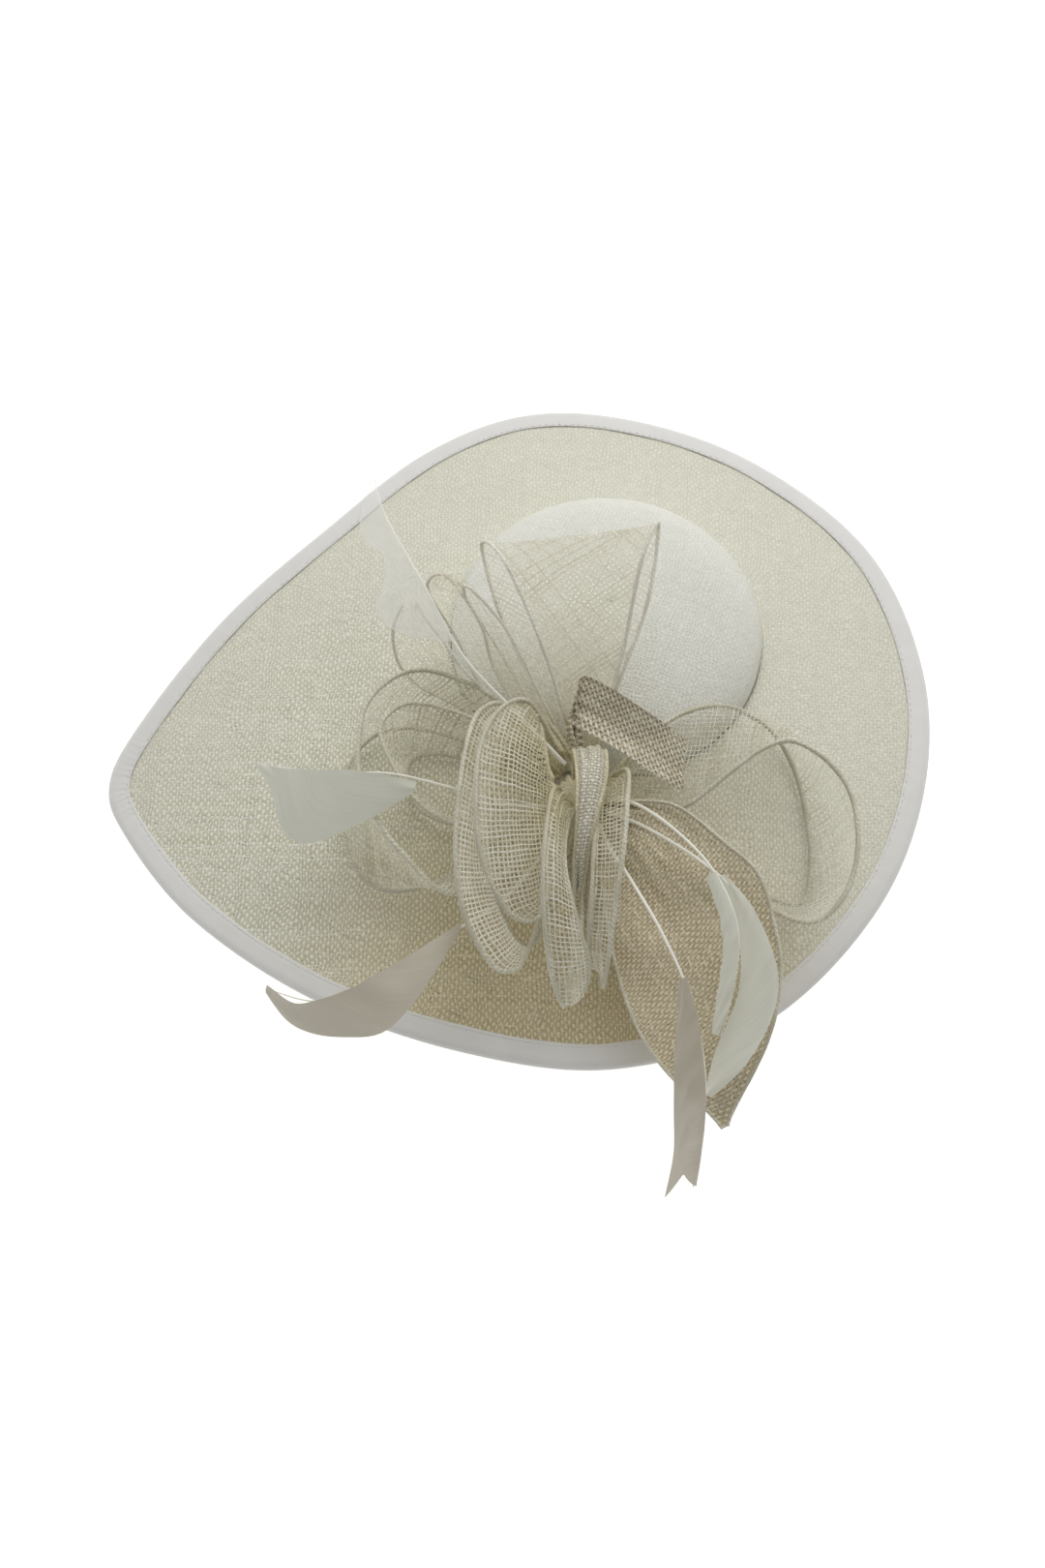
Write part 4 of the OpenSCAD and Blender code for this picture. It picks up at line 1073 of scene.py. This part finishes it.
# -------- feathers
def feather(k, quill, a, b, notch=0.0, mat=mat_feather):
    """A tapering quill, and its vane between two edges. notch is the share of it that its end is cut in."""
    line = even(along(quill, np.linspace(0, 1, 160)), 0.8)
    part = tube(line, 0.85 * (1 - 0.75 * np.linspace(0, 1, len(line)) ** 0.9), 10)
    done(joined(f"feather{k}_shaft", [part], mat_quill), "quill", f"feather{k}_quill")
    nu, nv = 90, 18
    u = np.linspace(0, 1, nu)
    v = np.linspace(0, 1, nv)
    pts = []
    for vv in v:
        uu = u * (1 - notch * (1 - abs(2 * vv - 1)))
        pts.append(along(a, uu) * (1 - vv) + along(b, uu) * vv)
    g = np.stack(pts, 1)
    curl = 0.8 * np.sin(math.pi * v)[None, :] + 0.25 * wavy((nu, nv), 30 + k, low=2, high=7)
    g = g + normals(g) * curl[..., None]
    run = lengths((g[:, 0] + g[:, -1]) / 2)
    width = np.linalg.norm(g[:, 0] - g[:, -1], axis=1)
    done(cloth(f"feather{k}_barbs", g, run, width[:, None] * v, mat), "feather", f"feather{k}_vane")


feather(1,
    [[-19, -74, 40], [-38, -60, 56], [-59, -42, 70], [-75, -14, 79], [-91, 21, 73], [-97, 44, 66]],
    [[-97, 43, 67], [-101, 32, 67], [-102, 22, 67], [-99, 12, 68], [-91, 2, 72], [-91, -10, 70],
     [-94, -19, 66], [-85, -29, 66], [-68, -36, 71]],
    [[-98, 42, 68], [-94, 30, 72], [-91, 20, 75], [-86, 9, 77], [-82, 0, 79], [-77, -11, 80],
     [-72, -20, 79], [-67, -29, 77], [-62, -38, 74]],
    mat=mat_feather_thin)
feather(2,
    [[-23, -86, 26], [-44, -90, 38], [-64, -89, 51], [-86, -88, 61], [-110, -86, 58], [-138, -79, 50]],
    [[-138, -81, 50], [-133, -89, 48], [-129, -102, 45], [-121, -109, 43], [-108, -107, 46],
     [-91, -101, 52], [-78, -94, 56]],
    [[-137, -79, 52], [-130, -82, 54], [-122, -84, 57], [-112, -86, 60], [-100, -87, 62], [-88, -89, 62],
     [-76, -90, 58]])
feather(3,
    [[-20, -95, 24], [-42, -124, 26], [-57, -138, 34], [-70, -149, 42], [-88, -163, 46], [-110, -171, 42],
     [-131, -164, 34]],
    [[-131, -166, 34], [-123, -176, 33], [-113, -181, 34], [-100, -183, 36], [-87, -182, 39],
     [-77, -173, 41], [-68, -159, 41], [-61, -145, 37]],
    [[-131, -163, 36], [-120, -171, 40], [-110, -171, 44], [-99, -168, 47], [-88, -162, 48],
     [-78, -155, 46], [-68, -147, 43], [-59, -139, 38]],
    mat=mat_feather_shaded)
feather(4,
    [[-6, -97, 34], [-3, -112, 46], [4, -128, 54], [15, -152, 59], [24, -176, 57], [29, -204, 45],
     [25, -235, 26]],
    [[20, -168, 58], [19, -182, 52], [18, -197, 46], [18, -211, 38], [18, -224, 30], [15, -238, 22]],
    [[22, -168, 61], [26, -181, 57], [28, -196, 51], [29, -209, 44], [28, -222, 36], [26, -235, 28]],
    notch=0.1, mat=mat_feather_shaded)
feather(5,
    [[-3, -88, 38], [8, -96, 50], [22, -112, 60], [34, -130, 65], [41, -150, 64], [40, -168, 57],
     [35, -186, 47]],
    [[31, -131, 63], [35, -146, 62], [36, -158, 59], [34, -171, 53], [32, -184, 46]],
    [[34, -130, 67], [40, -147, 67], [41, -159, 63], [39, -173, 57], [34, -186, 49]])
feather(6,
    [[-3, -92, 34], [10, -104, 48], [30, -123, 59], [44, -139, 61], [53, -158, 56], [54, -176, 48],
     [44, -195, 40]],
    [[35, -130, 59], [41, -145, 57], [43, -158, 54], [42, -170, 50], [38, -180, 45], [33, -191, 40],
     [30, -203, 34]],
    [[38, -129, 62], [47, -142, 63], [54, -158, 59], [56, -170, 53], [52, -183, 47], [43, -196, 41],
     [32, -205, 35]])

# -------- stage and light
FLOOR_HALF, FLOOR_DROP, FLOOR_GLOW = 60, 0.0005, 0.55
floor_mat = Shader("floor_paper")
fn = floor_mat.noise(floor_mat.place(), 3.0, 2.0)
floor_mat.base(floor_mat.fade(fn, 0.3, 0.7, (0.93, 0.93, 0.93), (0.95, 0.95, 0.95)), 0.95,
               Specular_IOR_Level=0.1, Emission_Color=(1.0, 1.0, 1.0, 1.0), Emission_Strength=FLOOR_GLOW)
me = bpy.data.meshes.new("floor")
h, z = FLOOR_HALF, cad_low.z - FLOOR_DROP
me.from_pydata([(-h, -h, z), (h, -h, z), (h, h, z), (-h, h, z)], [], [(0, 1, 2, 3)])
me.materials.append(floor_mat.mat)
floor = link(bpy.data.objects.new("floor", me))

AIM = Vector((-0.03, -0.04, 0.02))
LAMPS = (("key", (0.35, 0.95, 1.45), 1.8, 15.8), ("fill", (-1.2, -0.6, 1.3), 1.6, 1.8))
for name, where, size, power in LAMPS:
    lamp = bpy.data.lights.new(name, "AREA")
    lamp.shape = "SQUARE"
    lamp.size = size
    lamp.energy = power
    aimed(name, lamp, where, AIM - Vector(where))

FRONT_LIGHT, BACK_LIGHT, WALL = 0.14, 0.80, 0.93
world = bpy.data.worlds.new("studio")
world.use_nodes = True
wt = Nodes(world.node_tree)
front_to_back = wt.node("SeparateXYZ", {0: wt.node("TexCoord").outputs["Generated"]}).outputs[1]
ramp = wt.remap(front_to_back, -1, 1, FRONT_LIGHT, BACK_LIGHT)  # the studio is darker towards the front
# behind the object the studio is a plain pale wall
shown = wt.node("Mix", {0: wt.node("LightPath").outputs["Is Camera Ray"], 2: ramp, 3: WALL}).outputs[0]
backdrop = wt.tree.nodes["Background"]
wt.put(backdrop.inputs[1], shown)
wt.put(backdrop.inputs[0], (1, 1, 1, 1))
scene.world = world
scene.view_settings.view_transform = "Standard"
scene.view_settings.look = "None"
scene.cycles.transparent_max_bounces = 32  # a line of sight crosses many open nets
